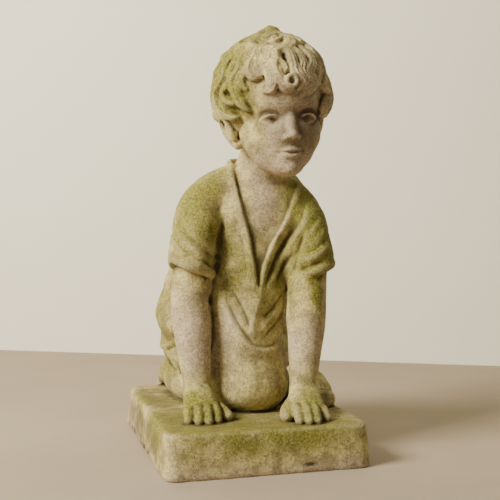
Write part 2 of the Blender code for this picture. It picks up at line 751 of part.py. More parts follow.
FACE_DENTS = (
    ((4, -86, -45.5), (2.3, 5, 2), (0, 2.8, 2)),
    ((17.5, -74, -61.6), (2.6, 6, 2.6), (0, 1.6, 0)),
    ((25.4, -70, -17.2), (2.4, 4, 2.4), (0, 2.2, 0)),
)


# Drawn from FRONT_VIEW: u runs to the viewer's right and v is the height above the plinth.
FRONT_STROKES = (
    ("step", 9, 3.4, [(27, 162), (24, 190), (18, 226), (10, 258), (-1, 300), (-8, 334)]),
    ("groove", 2.6, 1, [(13, 184), (8, 218), (-1, 258), (-10, 296)]),
    ("ridge", 5.5, 4.2, [(86, 300), (77, 276), (67, 254), (52, 230), (42, 206), (34, 176)]),
    ("step", 5, 3.4, [(82, 302), (71, 274), (60, 248), (44, 222), (34, 194), (29, 162)]),
    ("groove", 3, 3, [(94, 286), (84, 258), (70, 234), (54, 208), (44, 184), (36, 160)]),
    ("ridge", 4.5, 2.4, [(96, 270), (84, 240), (64, 210), (52, 186), (42, 162)]),
    ("groove", 3, 2.2, [(92, 246), (76, 216), (61, 192), (50, 166)]),
    ("step", 9, 4.2, [(60, 92), (50, 87), (40, 86), (28, 87), (19, 92), (8, 106), (-2, 121), (-11, 140),
                      (-22, 158)]),
    ("ridge", 4, 2.6, [(34, 162), (26, 142), (21, 118), (22, 100)]),
    ("groove", 3, 2.4, [(-8, 164), (3, 147), (12, 129), (18, 108)]),
    ("ridge", 4.6, 2.8, [(64, 148), (54, 134), (40, 121), (31, 104)]),
    ("groove", 3, 2.4, [(68, 134), (58, 122), (46, 110), (34, 98)]),
    ("ridge", 4.2, 2.4, [(68, 120), (58, 109), (46, 100)]),
    ("groove", 3, 2.4, [(64, 160), (54, 146), (44, 134), (34, 124)]),
    ("ridge", 4, 2.2, [(66, 172), (54, 158), (46, 146)]),
    ("groove", 3.8, 2, [(-80, 256), (-70, 244), (-58, 230), (-44, 218), (-34, 206)]),
    ("ridge", 6, 2, [(-82, 240), (-66, 226), (-50, 212), (-38, 202)]),
    ("step", 5, 3, [(-30, 196), (-42, 199), (-57, 207), (-70, 217), (-81, 231), (-88, 242)]),
    ("groove", 3, 2.4, [(-24, 204), (-31, 208), (-40, 214)]),
    ("groove", 3, 2.6, [(-32, 250), (-30, 238), (-27, 226)]),
    ("groove", 4, 4, [(-17, 262), (-21, 234), (-24, 206), (-26, 182)]),
    ("groove", 4, 4, [(86, 240), (80, 222), (75, 202), (72, 182)]),
    ("groove", 3.8, 2.4, [(124, 234), (113, 224), (101, 216), (82, 209)]),
    ("ridge", 5.4, 1.8, [(124, 224), (112, 213), (98, 206), (80, 200)]),
    ("groove", 3.8, 2, [(126, 213), (112, 203), (95, 193), (76, 189)]),
    ("groove", 3.6, 1.6, [(115, 250), (104, 235), (92, 225)]),
    ("groove", 2.6, 1.8, [(112, 262), (100, 250), (91, 238)]),
    ("step", 7, 3, [(-76, 40), (-90, 58), (-106, 78)]),
)

# From the child's right side: the back of the shirt, the shorts and the folded leg.
SIDE_STROKES = (
    ("step", 8, 4, [(-120, 74), (-90, 68), (-60, 74), (-30, 84), (0, 96)]),
    ("groove", 4, 4, [(-140, 46), (-110, 54), (-70, 50), (-30, 46), (10, 44)]),
    ("groove", 5, 3, [(-20, 190), (-46, 160), (-80, 130)]),
    ("ridge", 6, 2.5, [(-30, 200), (-58, 170), (-96, 138)]),
    ("groove", 5, 2.6, [(-12, 160), (-40, 132), (-76, 106)]),
)
OTHER_SIDE_STROKES = (
    ("step", 8, 4, [(10, 96), (36, 84), (64, 74), (92, 68), (120, 74)]),
    ("groove", 4, 4, [(-10, 44), (30, 46), (70, 48), (100, 44)]),
    ("groove", 5, 3, [(30, 190), (54, 160), (86, 130)]),
    ("ridge", 6, 2.5, [(38, 200), (64, 170), (100, 138)]),
)
BACK_STROKES = (
    ("groove", 9, 4, [(-12, 300), (-10, 240), (-8, 180), (-8, 130)]),
    ("step", 8, 4, [(70, 66), (40, 62), (0, 64), (-40, 62), (-80, 66)]),
    ("groove", 5, 3, [(-64, 220), (-40, 180), (-30, 130)]),
    ("groove", 5, 3, [(46, 220), (24, 180), (14, 130)]),
    ("ridge", 6, 2.4, [(-76, 190), (-58, 150), (-54, 110)]),
    ("ridge", 6, 2.4, [(58, 190), (42, 150), (38, 110)]),
)


def figure(coarse, fine):
    """The whole figure's skin on the plinth's top, in the figure's units."""
    clay = Clay()
    clay.take(body(coarse))
    clay.take(head(coarse, fine))
    hands_and_feet(clay)
    sleeves(clay)
    skin = Surface(clay.joined(fine, rounds=1))
    for place, radius, rounds in SOFT_PLACES:
        skin.soften(rounds, falloff(np.linalg.norm(skin.points - place, axis=1), radius))
    for strokes, view in (
        (FRONT_STROKES, FRONT_VIEW),
        (SIDE_STROKES, -90),
        (OTHER_SIDE_STROKES, 90),
        (BACK_STROKES, 180),
    ):
        carve(skin, strokes, view)
    carve_face(skin)
    return skin.store()


def carve_face(skin):
    """The lids, the eyes and the mouth, drawn in the head's own frame."""
    placed = np.array(placing(HEAD_CENTRE, HEAD_TURN, HEAD_SIZE))
    turn, centre = placed[:3, :3], placed[:3, 3]
    skin.points = (skin.points - centre) @ np.linalg.inv(turn).T
    carve(skin, FACE_STROKES, 0)
    dent(skin, mirrored(FACE_DENTS))
    skin.points = skin.points @ turn.T + centre


# Where forms that were laid over each other are smoothed into one: a place, a reach and how many rounds.
SOFT_PLACES = (
    ((-69, -64, 44), 20, 60),
    ((66, -92, 44), 20, 60),
    ((-66, -28, 232), 34, 8),
    ((86, -45, 230), 34, 8),
    ((0, -60, 60), 40, 8),
)


def rounded_rectangle(width, depth, radius, height):
    """The corners of a rounded rectangle about the origin, anticlockwise."""
    places = []
    for quarter in range(4):
        x = (width / 2 - radius) * (1 if quarter in (0, 3) else -1)
        y = (depth / 2 - radius) * (1 if quarter in (0, 1) else -1)
        for step in range(CORNER_STEPS + 1):
            angle = math.pi / 2 * (quarter + step / CORNER_STEPS)
            places.append((x + radius * math.cos(angle), y + radius * math.sin(angle), height))
    return places


def plinth():
    """The block: its sides lean in by the draft, and its top edge is round."""
    block = Clay()
    foot_edge = PLINTH_EDGE_RADIUS / 3
    insets = [(foot_edge, 0), (0, foot_edge)]
    for step in range(EDGE_STEPS + 1):
        angle = math.pi / 2 * step / EDGE_STEPS
        rise = PLINTH_EDGE_RADIUS * (1 - math.sin(angle))
        insets.append((PLINTH_DRAFT + PLINTH_EDGE_RADIUS * (1 - math.cos(angle)), PLINTH_HEIGHT - rise))
    block.skin_over(
        rounded_rectangle(PLINTH_WIDTH - 2 * inset, PLINTH_DEPTH - 2 * inset, PLINTH_CORNER_RADIUS, height)
        for inset, height in insets
    )
    return block.mesh()


# Where the skin keeps more of its triangles: the middle and the radius of the face and of each hand.
KEPT_PLACES = (((46, -116, 374), 58), ((-70, -105, 10), 34), ((60, -130, 10), 34))


def thinned(mesh, triangles):
    """The skin with fewer triangles, most of them where it is kept fine."""
    points = Surface(mesh).points
    near = [np.linalg.norm(points - place, axis=1) < radius for place, radius in KEPT_PLACES]
    faces = sum(len(face.vertices) - 2 for face in mesh.polygons)
    settings = {
        "ratio": triangles / faces,
        "vertex_group": KEPT,
        "invert_vertex_group": True,
        "vertex_group_factor": KEPT_FACTOR,
    }
    return evaluated(mesh, [("DECIMATE", settings)], kept=np.flatnonzero(np.any(near, axis=0)).tolist())


def cast_stone():
    """Weathered cast stone: warm grey, rough and not metallic."""
    stone = bpy.data.materials.new("cast stone")
    stone.use_nodes = True
    shader = stone.node_tree.nodes["Principled BSDF"]
    shader.inputs["Base Color"].default_value = (0.42, 0.37, 0.24, 1)
    shader.inputs["Roughness"].default_value = 0.85
    shader.inputs["Metallic"].default_value = 0
    return stone


def shown(name, mesh):
    for face in mesh.polygons:
        face.use_smooth = True
    mesh.set_sharp_from_angle(angle=SHARP_ANGLE)
    thing = bpy.data.objects.new(name, mesh)
    bpy.context.scene.collection.objects.link(thing)
    return thing


def main():
    for thing in list(bpy.data.objects):
        bpy.data.objects.remove(thing)
    child = thinned(figure(COARSE_VOXEL, FINE_VOXEL), MOST_TRIANGLES)
    child.transform(placing((0, 0, PLINTH_HEIGHT - SETTLED * UNIT), np.eye(3), UNIT))
    clay = shown("child_clay", child)
    clay.hide_render = True
    clay.hide_viewport = True
    clay.display_type = "WIRE"
    union = {"operation": "UNION", "solver": "EXACT", "object": clay}
    statue = shown("kneeling_child_statue", evaluated(plinth(), [("BOOLEAN", union)]))
    statue.data.materials.append(cast_stone())


main()
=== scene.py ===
"""The dressed kneeling child: the same clay as the solid, modelled finer, as old cast stone."""

import math

import bmesh
import bpy
import numpy as np
from mathutils import Matrix, Vector
from mathutils.kdtree import KDTree


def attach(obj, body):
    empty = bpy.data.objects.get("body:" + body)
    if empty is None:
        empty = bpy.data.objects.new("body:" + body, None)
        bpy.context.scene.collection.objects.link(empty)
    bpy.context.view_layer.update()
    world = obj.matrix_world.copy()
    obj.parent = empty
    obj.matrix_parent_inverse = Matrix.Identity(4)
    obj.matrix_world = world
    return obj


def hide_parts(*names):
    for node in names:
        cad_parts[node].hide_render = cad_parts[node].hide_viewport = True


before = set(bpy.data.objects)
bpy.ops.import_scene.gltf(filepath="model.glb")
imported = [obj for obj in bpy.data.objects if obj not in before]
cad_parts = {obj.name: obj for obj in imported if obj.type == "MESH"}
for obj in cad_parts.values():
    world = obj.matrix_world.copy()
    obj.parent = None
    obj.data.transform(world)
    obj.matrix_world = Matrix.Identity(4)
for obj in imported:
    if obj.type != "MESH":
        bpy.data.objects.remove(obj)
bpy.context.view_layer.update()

NODE = "kneeling_child_statue"
FIGURE_HEIGHT = 0.505
PLINTH_WIDTH = 0.262
PLINTH_DEPTH = 0.338
PLINTH_HEIGHT = 0.055
PLINTH_CORNER_RADIUS = 0.016
PLINTH_EDGE_RADIUS = 0.006
PLINTH_DRAFT = 0.003
UNITS_HIGH = 505
UNIT = FIGURE_HEIGHT / UNITS_HIGH
FLOOR = -PLINTH_HEIGHT / UNIT
SETTLED = 2
KEPT = "kept"
KEPT_WEIGHT = 0.95
KEPT_FACTOR = 4
COARSE_VOXEL = 2.8
FINE_VOXEL = 1.25
MOST_TRIANGLES = 190000
CORNER_STEPS = 8
EDGE_STEPS = 6
FRONT_VIEW = -15


def unit_vector(v):
    v = np.asarray(v, float)
    return v / np.maximum(np.linalg.norm(v, axis=-1, keepdims=True), 1e-9)


def spline(rows, count):
    """A smooth curve through the rows, as count rows. A row is a place with any sizes beside it."""
    rows = np.asarray(rows, float)
    rows = np.vstack([2 * rows[0] - rows[1], rows, 2 * rows[-1] - rows[-2]])
    along = np.linspace(0, len(rows) - 3, count)
    first = np.minimum(along.astype(int), len(rows) - 4)
    t = (along - first)[:, None]
    a, b, c, d = (rows[first + k] for k in range(4))
    return 0.5 * (2 * b + (c - a) * t + (2 * a - 5 * b + 4 * c - d) * t**2 + (3 * b - a - 3 * c + d) * t**3)


def turned(yaw, pitch, roll):
    """A rotation in degrees: yaw about Z, pitch about X, roll about Y."""
    return np.array(
        Matrix.Rotation(math.radians(yaw), 3, "Z")
        @ Matrix.Rotation(math.radians(pitch), 3, "X")
        @ Matrix.Rotation(math.radians(roll), 3, "Y")
    )


def placing(centre, turn, size=1.0):
    """The matrix that places something made about the origin."""
    matrix = np.eye(4)
    matrix[:3, :3] = turn * size
    matrix[:3, 3] = centre
    return Matrix(matrix.tolist())


class Clay:
    """Closed forms in one mesh."""

    def __init__(self):
        self.forms = bmesh.new()

    def ball(self, centre, radii):
        placed = placing(centre, np.diag(radii))
        bmesh.ops.create_icosphere(self.forms, subdivisions=4, radius=1, matrix=placed)

    def tube(self, rows, facing=(0, -1, 0), count=20, sides=16, ends=1.0):
        """A form along a smooth path. A row is x, y, z, half the width, half the thickness."""
        rows = spline(rows, count)
        path = rows[:, :3]
        facing = np.broadcast_to(unit_vector(facing), path.shape)
        ahead = unit_vector(np.gradient(path, axis=0))
        side = unit_vector(np.cross(ahead, facing))
        front = np.cross(side, ahead)
        angle = np.linspace(0, 2 * np.pi, sides, endpoint=False)
        across = np.cos(angle)[:, None]
        through = np.sin(angle)[:, None]
        loops = []

        def loop(i, shift, size):
            centre = path[i] + ahead[i] * shift
            loops.append(centre + size * (across * side[i] * rows[i, 3] + through * front[i] * rows[i, 4]))

        bulge = [math.radians(a) for a in (80, 50, 25)]
        first, last = rows[0, 3:].min() * ends, rows[-1, 3:].min() * ends
        for a in bulge:
            loop(0, -first * math.sin(a), math.cos(a))
        for i in range(count):
            loop(i, 0, 1)
        for a in reversed(bulge):
            loop(-1, last * math.sin(a), math.cos(a))
        self.skin_over(loops)

    def skin_over(self, loops):
        """Lays faces from loop to loop and fills the two ends."""
        rings = [[self.forms.verts.new(p) for p in loop] for loop in loops]
        for low, high in zip(rings, rings[1:]):
            for k in range(len(low)):
                n = (k + 1) % len(low)
                self.forms.faces.new((low[k], low[n], high[n], high[k]))
        self.forms.faces.new(rings[0][::-1])
        self.forms.faces.new(rings[-1])

    def joined(self, voxel, rounds):
        """One closed skin over all the forms, softened by so many rounds."""
        return remeshed(self.mesh(), voxel, rounds)

    def mesh(self):
        made = bpy.data.meshes.new("clay")
        bmesh.ops.recalc_face_normals(self.forms, faces=self.forms.faces)
        self.forms.to_mesh(made)
        return made

    def take(self, mesh):
        self.forms.from_mesh(mesh)


def evaluated(mesh, modifiers, kept=None):
    """The mesh with the modifiers applied. A modifier is a kind and its settings.

    The kept points make the vertex group KEPT.
    """
    body = bpy.data.objects.new("forming", mesh)
    bpy.context.scene.collection.objects.link(body)
    if kept is not None:
        body.vertex_groups.new(name=KEPT).add(kept, KEPT_WEIGHT, "REPLACE")
    for kind, settings in modifiers:
        modifier = body.modifiers.new(kind, kind)
        for name, value in settings.items():
            setattr(modifier, name, value)
    graph = bpy.context.evaluated_depsgraph_get()
    made = bpy.data.meshes.new_from_object(body.evaluated_get(graph))
    bpy.data.objects.remove(body)
    bpy.data.meshes.remove(mesh)
    return made


def remeshed(mesh, voxel, rounds):
    smooth = ("SMOOTH", {"factor": 0.5, "iterations": rounds})
    return outer_skin(evaluated(mesh, [("REMESH", {"mode": "VOXEL", "voxel_size": voxel}), smooth]))


def outer_skin(mesh):
    """The largest connected skin: a void that the forms close in is dropped."""
    ends = np.empty(len(mesh.edges) * 2, np.int32)
    mesh.edges.foreach_get("vertices", ends)
    a, b = ends.reshape(-1, 2).T
    label = np.arange(len(mesh.vertices))
    while True:
        lower = label.copy()
        np.minimum.at(lower, a, label[b])
        np.minimum.at(lower, b, label[a])
        lower = lower[lower]
        if (lower == label).all():
            break
        label = lower
    stray = np.flatnonzero(label != np.bincount(label).argmax())
    if len(stray):
        forms = bmesh.new()
        forms.from_mesh(mesh)
        forms.verts.ensure_lookup_table()
        bmesh.ops.delete(forms, geom=[forms.verts[k] for k in stray], context="VERTS")
        forms.to_mesh(mesh)
        forms.free()
    return mesh


class Surface:
    """A skin's points, for carving. Lengths are in the figure's units."""

    def __init__(self, mesh):
        self.mesh = mesh
        count = len(mesh.vertices)
        flat = np.empty(count * 3)
        mesh.vertices.foreach_get("co", flat)
        self.points = flat.reshape(-1, 3)
        ends = np.empty(len(mesh.edges) * 2, np.int32)
        mesh.edges.foreach_get("vertices", ends)
        self.ends = ends.reshape(-1, 2)
        self.valence = np.maximum(np.bincount(self.ends.ravel(), minlength=count), 1)

    def store(self):
        self.mesh.vertices.foreach_set("co", self.points.ravel())
        self.mesh.update()
        return self.mesh

    def normals(self):
        self.store()
        flat = np.empty(len(self.points) * 3)
        self.mesh.vertex_normals.foreach_get("vector", flat)
        return flat.reshape(-1, 3)

    def averaged(self, values):
        """Each point's mean over its neighbours, of a value or of a place."""
        a, b = self.ends.T
        values = values.reshape(len(self.points), -1)
        count = len(values)
        total = [np.bincount(a, column[b], count) + np.bincount(b, column[a], count) for column in values.T]
        return np.stack(total, axis=1) / self.valence[:, None]

    def soften(self, rounds, weight):
        for _ in range(rounds):
            self.points += (self.averaged(self.points) - self.points) * weight[:, None]

    def push(self, amount):
        self.points += self.normals() * amount[:, None]


def falloff(distance, width):
    return np.exp(-((distance / width) ** 2))


def gap_to(points, place):
    return np.linalg.norm(points - place, axis=1)


def line_gap(points, line):
    """For flat points: the distance to a drawn line, their side of it, and how far along it they are."""
    best = np.full(len(points), np.inf)
    side = np.zeros(len(points))
    share = np.zeros(len(points))
    steps = len(line) - 1
    for k, (a, b) in enumerate(zip(line, line[1:])):
        way = b - a
        length = max(np.linalg.norm(way), 1e-6)
        off = points - a
        t = np.clip(off @ way / length**2, 0, 1)
        gap = np.linalg.norm(off - t[:, None] * way, axis=1)
        nearer = gap < best
        best[nearer] = gap[nearer]
        cross = way[0] * off[:, 1] - way[1] * off[:, 0]
        side[nearer] = np.sign(cross[nearer])
        share[nearer] = ((k + t) / steps)[nearer]
    return best, side, share


STEP_SLOPE = 1.8


def carve(surface, strokes, view):
    """Strokes drawn on the surface from one side. A row is a kind, a width, a depth and a line.

    A groove goes in and a ridge comes out. A step is a cloth's edge: the left of the line stands
    higher than the right by the depth, and falls away from the edge over the width. A patch goes
    in all over the inside of its closed line.
    """
    angle = math.radians(view)
    right = np.array([math.cos(angle), math.sin(angle), 0])
    toward = np.array([math.sin(angle), -math.cos(angle), 0])
    facing = np.clip(surface.normals() @ toward * 3, 0, 1)
    flat = np.stack([surface.points @ right, surface.points[:, 2]], axis=1)
    moved = np.zeros(len(flat))
    for kind, width, depth, line in strokes:
        line = spline(line, 6 * len(line))
        low, high = line.min(axis=0) - 3 * width, line.max(axis=0) + 3 * width
        near = np.flatnonzero((facing > 0) & (flat > low).all(axis=1) & (flat < high).all(axis=1))
        gap, side, share = line_gap(flat[near], line)
        ends = np.clip(np.minimum(share, 1 - share) * 5 + 0.15, 0, 1)
        if kind == "step":
            raised = 0.5 + 0.5 * np.tanh(side * gap / STEP_SLOPE)
            amount = raised * falloff(gap, width) - 0.4 * (1 - raised) * falloff(gap, width * 0.4)
        elif kind == "patch":
            amount = -np.tanh(gap / width) * inside(flat[near], line)
            ends = 1
        else:
            amount = falloff(gap, width) * (1 if kind == "ridge" else -1)
        moved[near] += amount * depth * ends * facing[near]
    surface.push(moved)


def inside(points, line):
    """Whether flat points are inside a closed line, by counting the edges that a level ray crosses."""
    crossed = np.zeros(len(points), bool)
    x, y = points.T
    for (ax, ay), (bx, by) in zip(line, np.roll(line, -1, axis=0)):
        if ay != by:
            crossed ^= ((ay > y) != (by > y)) & (x < ax + (y - ay) * (bx - ax) / (by - ay))
    return crossed


def dent(surface, rows):
    """Soft hollows. A row is a centre, three radii and how far the points move, as a vector."""
    for place, radii, move in rows:
        reach = (((surface.points - place) / radii) ** 2).sum(axis=1)
        surface.points += np.exp(-reach)[:, None] * np.asarray(move, float)


def mirrored(rows):
    """Rows of dents and their copies on the other side of x = 0."""
    flip = np.array([-1, 1, 1])
    return [*rows, *((place * flip, radii, move * flip) for place, radii, move in rows)]


# Places on the body, in the figure's units: x to the viewer's right, y to the back, z up from the plinth.
SHOULDER_R, ELBOW_R, WRIST_R = (-57, -20, 250), (-75, -38, 150), (-69, -62, 36)
SHOULDER_L, ELBOW_L, WRIST_L = (86, -38, 250), (79, -68, 150), (65, -90, 36)
HEAD_CENTRE = (37, -52, 405)
HEAD_TURN = turned(yaw=0, pitch=6, roll=-4)
HEAD_SIZE = 0.94
# The head has a frame of its own: the face looks along -Y and the origin is in the middle.
HEAD_PLACED = placing(HEAD_CENTRE, HEAD_TURN, HEAD_SIZE)
HEAD_FRAME = np.array(HEAD_PLACED)[:3, :3]
HEAD_ORIGIN = np.array(HEAD_PLACED)[:3, 3]
HAIR_CENTRE = np.array([-0.8, 12, 16])
HAIR_RADII = np.array([71, 88, 77])


# Where the chest's forms are smoothed into one skin.
CHEST = (26, -66, 232)
CHEST_REACH = 44
# The skin that shows in the shirt's opening, up to the neck, drawn from FRONT_VIEW.
OPENING = (
    "patch",
    3,
    3.4,
    [(-10, 340), (-5, 306), (8, 264), (16, 230), (22, 196), (28, 166), (32, 166), (38, 192), (48, 217),
     (62, 241), (74, 264), (84, 300), (80, 350), (30, 360)],
)


def body(voxel):
    """The trunk in its shirt, the limbs and the neck, softened into each other."""
    clay = Clay()
    trunk = [
        (6, 98, 40, 85, 54),
        (4, 90, 84, 94, 60),
        (4, 66, 124, 96, 66),
        (4, 40, 172, 91, 62),
        (9, 10, 214, 80, 56),
        (18, -12, 252, 73, 50),
        (24, -14, 282, 62, 40),
        (30, -8, 306, 44, 30),
    ]
    clay.tube(trunk, facing=(-0.15, -1, 0), count=30, sides=36)
    yoke = [
        (-66, -22, 238, 30, 28),
        (-58, -16, 268, 30, 28),
        (-34, -6, 290, 34, 28),
        (-6, 2, 302, 34, 28),
        (30, 0, 306, 32, 28),
        (62, -12, 290, 32, 27),
        (82, -26, 268, 30, 27),
        (92, -36, 236, 28, 28),
    ]
    clay.tube(yoke, facing=(0, 0, 1), count=28, sides=24)
    clay.ball((16, 8, 256), (68, 42, 44))
    belly = [
        (20, -26, 268, 42, 28),
        (15, -20, 218, 54, 40),
        (9, -14, 168, 58, 52),
        (4, -12, 112, 56, 58),
        (2, -14, 60, 54, 58),
        (2, -20, 30, 44, 44),
    ]
    clay.tube(belly, facing=(-0.1, -1, 0), count=24, sides=30, ends=0.4)
    clay.ball((5, -22, 50), (55, 55, 50))
    clay.ball((7, -40, 31), (51, 46, 36))
    thigh_r = [(-46, 84, 76, 44, 50), (-36, 26, 62, 38, 46), (-18, -22, 48, 32, 42), (-12, -40, 38, 34, 36)]
    thigh_l = [(66, 80, 74, 44, 50), (48, 24, 60, 38, 46), (24, -24, 48, 32, 42), (16, -42, 38, 34, 36)]
    for rows in (thigh_r, thigh_l):
        clay.tube(rows, facing=(0, 0, 1), count=20, sides=24)
    clay.ball((-65, 58, 122), (38, 58, 42))
    calf_r = [(-30, -20, 22, 22, 24), (-56, 36, 30, 28, 32), (-64, 84, 30, 25, 30), (-66, 116, 26, 19, 24)]
    calf_l = [(36, -22, 22, 22, 24), (66, 24, 30, 28, 30), (84, 56, 26, 22, 26), (94, 76, 24, 17, 20)]
    for rows in (calf_r, calf_l):
        clay.tube(rows, facing=(0, 0, 1), count=20, sides=22)
    for shoulder, elbow, wrist in ((SHOULDER_R, ELBOW_R, WRIST_R), (SHOULDER_L, ELBOW_L, WRIST_L)):
        clay.tube(arm_rows(shoulder, elbow, wrist), count=30, sides=22)
    neck = [(29, -2, 296, 46, 36), (32, -14, 322, 38, 36), (37, -30, 352, 36, 36)]
    clay.tube(neck, sides=24)
    skin = Surface(clay.joined(voxel, rounds=16))
    skin.soften(40, falloff(gap_to(skin.points, CHEST), CHEST_REACH))
    carve(skin, [OPENING], FRONT_VIEW)
    return skin.store()


def arm_rows(shoulder, elbow, wrist):
    """A child's straight arm: full at the shoulder, dimpled at the elbow, round in the forearm."""
    shoulder, elbow, wrist = (np.asarray(p, float) for p in (shoulder, elbow, wrist))

    def at(a, b, share, wide, thick):
        return (*(a + (b - a) * share), wide, thick)

    return [
        at(shoulder, elbow, 0, 29, 33),
        at(shoulder, elbow, 0.35, 29, 31),
        at(shoulder, elbow, 0.8, 26, 27),
        at(elbow, wrist, 0, 25, 26),
        at(elbow, wrist, 0.28, 25.5, 26),
        at(elbow, wrist, 0.7, 21, 21),
        at(elbow, wrist, 1, 18.5, 16),
    ]


def ring(centre, wide, deep, tilt, size):
    """Rows of a roll of cloth round a limb: higher at one side by the tilt."""
    rows = []
    for k in range(13):
        angle = 2 * math.pi * k / 12
        swell = 1 + HEM_WAVES * math.sin(3 * angle + 1)
        x, y = math.cos(angle), math.sin(angle)
        place = (centre[0] + wide * x, centre[1] + deep * y, centre[2] + tilt * x)
        rows.append((*place, size * swell, size * swell * 1.25))
    return rows


# The shirt's neckline round the back of the neck, from one side of the opening to the other.
COLLAR = (
    (-9, -8, 325, 3.5, 3.5),
    (-9, 4, 331, 4.5, 6),
    (4, 21, 333, 4.5, 6.5),
    (32, 28, 331, 4.5, 6.5),
    (60, 20, 325, 4.5, 6.5),
    (79, 2, 314, 4.5, 6),
    (86, -14, 302, 4, 4.5),
)


# The sleeves, and the size and the waves of their rolled hems.
HEM_SIZE = 6.2
HEM_WAVES = 0.12
SLEEVE_R = (
    (-58, -20, 250, 29, 33),
    (-66, -30, 228, 31, 34),
    (-72, -38, 205, 31, 33),
    (-74, -42, 194, 29, 32),
)
SLEEVE_L = (
    (84, -36, 250, 29, 33),
    (86, -48, 224, 30, 35),
    (88, -58, 200, 30, 33),
    (90, -62, 190, 28, 31),
)


def sleeves(clay):
    for rows in (SLEEVE_R, SLEEVE_L):
        clay.tube(rows, count=16, sides=32, ends=0.1)
    clay.tube(ring((-72, -42, 194), 25, 27, -10, HEM_SIZE), facing=(0, 0, 1), count=48, sides=14)
    clay.tube(ring((89, -62, 190), 23.5, 26, 7, HEM_SIZE), facing=(0, 0, 1), count=48, sides=14)
    clay.tube(COLLAR, facing=(0, 0, 1), count=40, sides=14, ends=2)


def hand(clay, wrist, knuckles, tips, thumb):
    """A small flat hand: the back of it falls from the wrist to four knuckles, and the fingers lie down."""
    wrist = np.asarray(wrist, float)
    middle = np.mean(knuckles, axis=0)
    ahead = unit_vector(middle - wrist)
    back = [
        (*(wrist + (0, 4, 10)), 16.5, 14),
        (*(wrist + (0, 1, 0)), 18.5, 14),
        (*(wrist + (middle - wrist) * 0.45 + (0, 0, 1)), 21.5, 12.5),
        (*(middle + ahead * -2), 23, 9.5),
    ]
    clay.tube(back, facing=(0, -0.3, 1), count=14, sides=24)
    for knuckle, tip in zip(knuckles, tips):
        knuckle, tip = np.asarray(knuckle, float), np.asarray(tip, float)
        bend = knuckle + (tip - knuckle) * 0.5 + (0, 0, 3.2)
        start = knuckle + (wrist - knuckle) * 0.35
        finger = [(*start, 6.6, 7.5), (*knuckle, 7.2, 8), (*bend, 6.7, 7), (*tip, 5.9, 5.8)]
        clay.tube(finger, facing=(0, 0, 1), count=14, sides=14)
        clay.ball(bend, (7.1, 6.4, 7.2))
    clay.tube(thumb, facing=(0, 0, 1), count=14, sides=14)


def foot(clay, rows, toes):
    clay.tube(rows, facing=(0, 0, 1), count=18, sides=16)
    for toe in toes:
        clay.ball(toe[:3], toe[3:])


def hands_and_feet(clay):
    hand(
        clay,
        WRIST_R,
        [(-88, -96, 14), (-77, -99, 17), (-66, -100, 18), (-55, -97, 17)],
        [(-91, -110, 6), (-79, -117, 6), (-67, -119, 6), (-55, -115, 6)],
        [(-54, -72, 20, 9, 9), (-45, -90, 12, 9, 9), (-39, -104, 8, 7.5, 7)],
    )
    hand(
        clay,
        WRIST_L,
        [(43, -126, 17), (54, -129, 18), (65, -128, 17), (76, -122, 14)],
        [(42, -146, 6), (53.5, -150, 6), (64, -149.5, 6), (81, -138, 6)],
        [(49, -102, 20, 11, 10), (37, -117, 13, 11, 10), (31, -129, 9, 9, 8)],
    )
    foot(
        clay,
        [(-66, 114, 32, 19, 26), (-66, 140, 22, 20, 18), (-64, 156, 11, 20, 9)],
        [(-80 + 9 * k, 158, 8, 5, 6, 6) for k in range(4)],
    )
    foot(
        clay,
        [(90, 76, 28, 21, 26), (101, 40, 27, 21, 25), (107, 0, 24, 20, 22), (107, -36, 18, 19, 17)],
        [
            (98, -58, 14, 9, 14, 12),
            (107, -59, 13, 8.5, 14, 12),
            (115, -54, 12, 7.5, 13, 11),
            (120, -44, 10, 6.5, 12, 9),
        ],
    )


# Soft hollows beside the nose and the brow, then on the middle line: a place, a reach each way and a push.
SIDE_HOLLOWS = (((26, -72, -14), (15, 30, 9), (0, 7, 0)), ((54, -50, 10), (14, 30, 22), (-2.5, 2, 0)))
MIDDLE_HOLLOWS = (((0, -76, -8), (11, 24, 10), (0, 1.5, 0)), ((0, -76, -75), (18, 20, 4), (0, 1.5, 0)))
NOSE = ((0, -64, 2, 9, 8), (0, -69, -14, 8.5, 8), (0, -75.5, -28, 8.5, 8), (0, -79, -38, 9, 8))
BROW = ((9, -68, 1, 4, 4), (26, -68, 5, 4.5, 5), (41, -57, 0, 4, 4))


def other_side(side):
    """What rows of a place and two sizes are multiplied by to lie on the side 1 or -1."""
    return np.array([side, 1, 1, 1, 1])


def head_base(voxel, fine):
    """The skull, the cheeks and the nose, with hollows for the eyes."""
    clay = Clay()
    clay.ball((0, 12, 18), (67, 82, 68))
    clay.ball((0, -30, 12), (58, 50, 60))
    clay.ball((0, -24, -34), (57, 55, 54))
    clay.ball((0, -28, -58), (45, 48, 38))
    for side in (-1, 1):
        clay.ball((side * 26, -40, -40), (27, 28, 29))
    clay.ball((0, -50, -74), (27, 27, 24))
    skin = Surface(clay.joined(voxel, rounds=18))
    dent(skin, mirrored(SIDE_HOLLOWS) + list(MIDDLE_HOLLOWS))
    clay = Clay()
    clay.take(skin.store())
    clay.tube(NOSE, count=14, sides=20)
    clay.ball((0, -58, -60), (25, 17.5, 17))
    clay.ball((0, -62, -83), (14, 15.5, 11))
    for side in (-1, 1):
        clay.tube(BROW * other_side(side), count=12, sides=12)
    return clay.joined(fine, rounds=18)


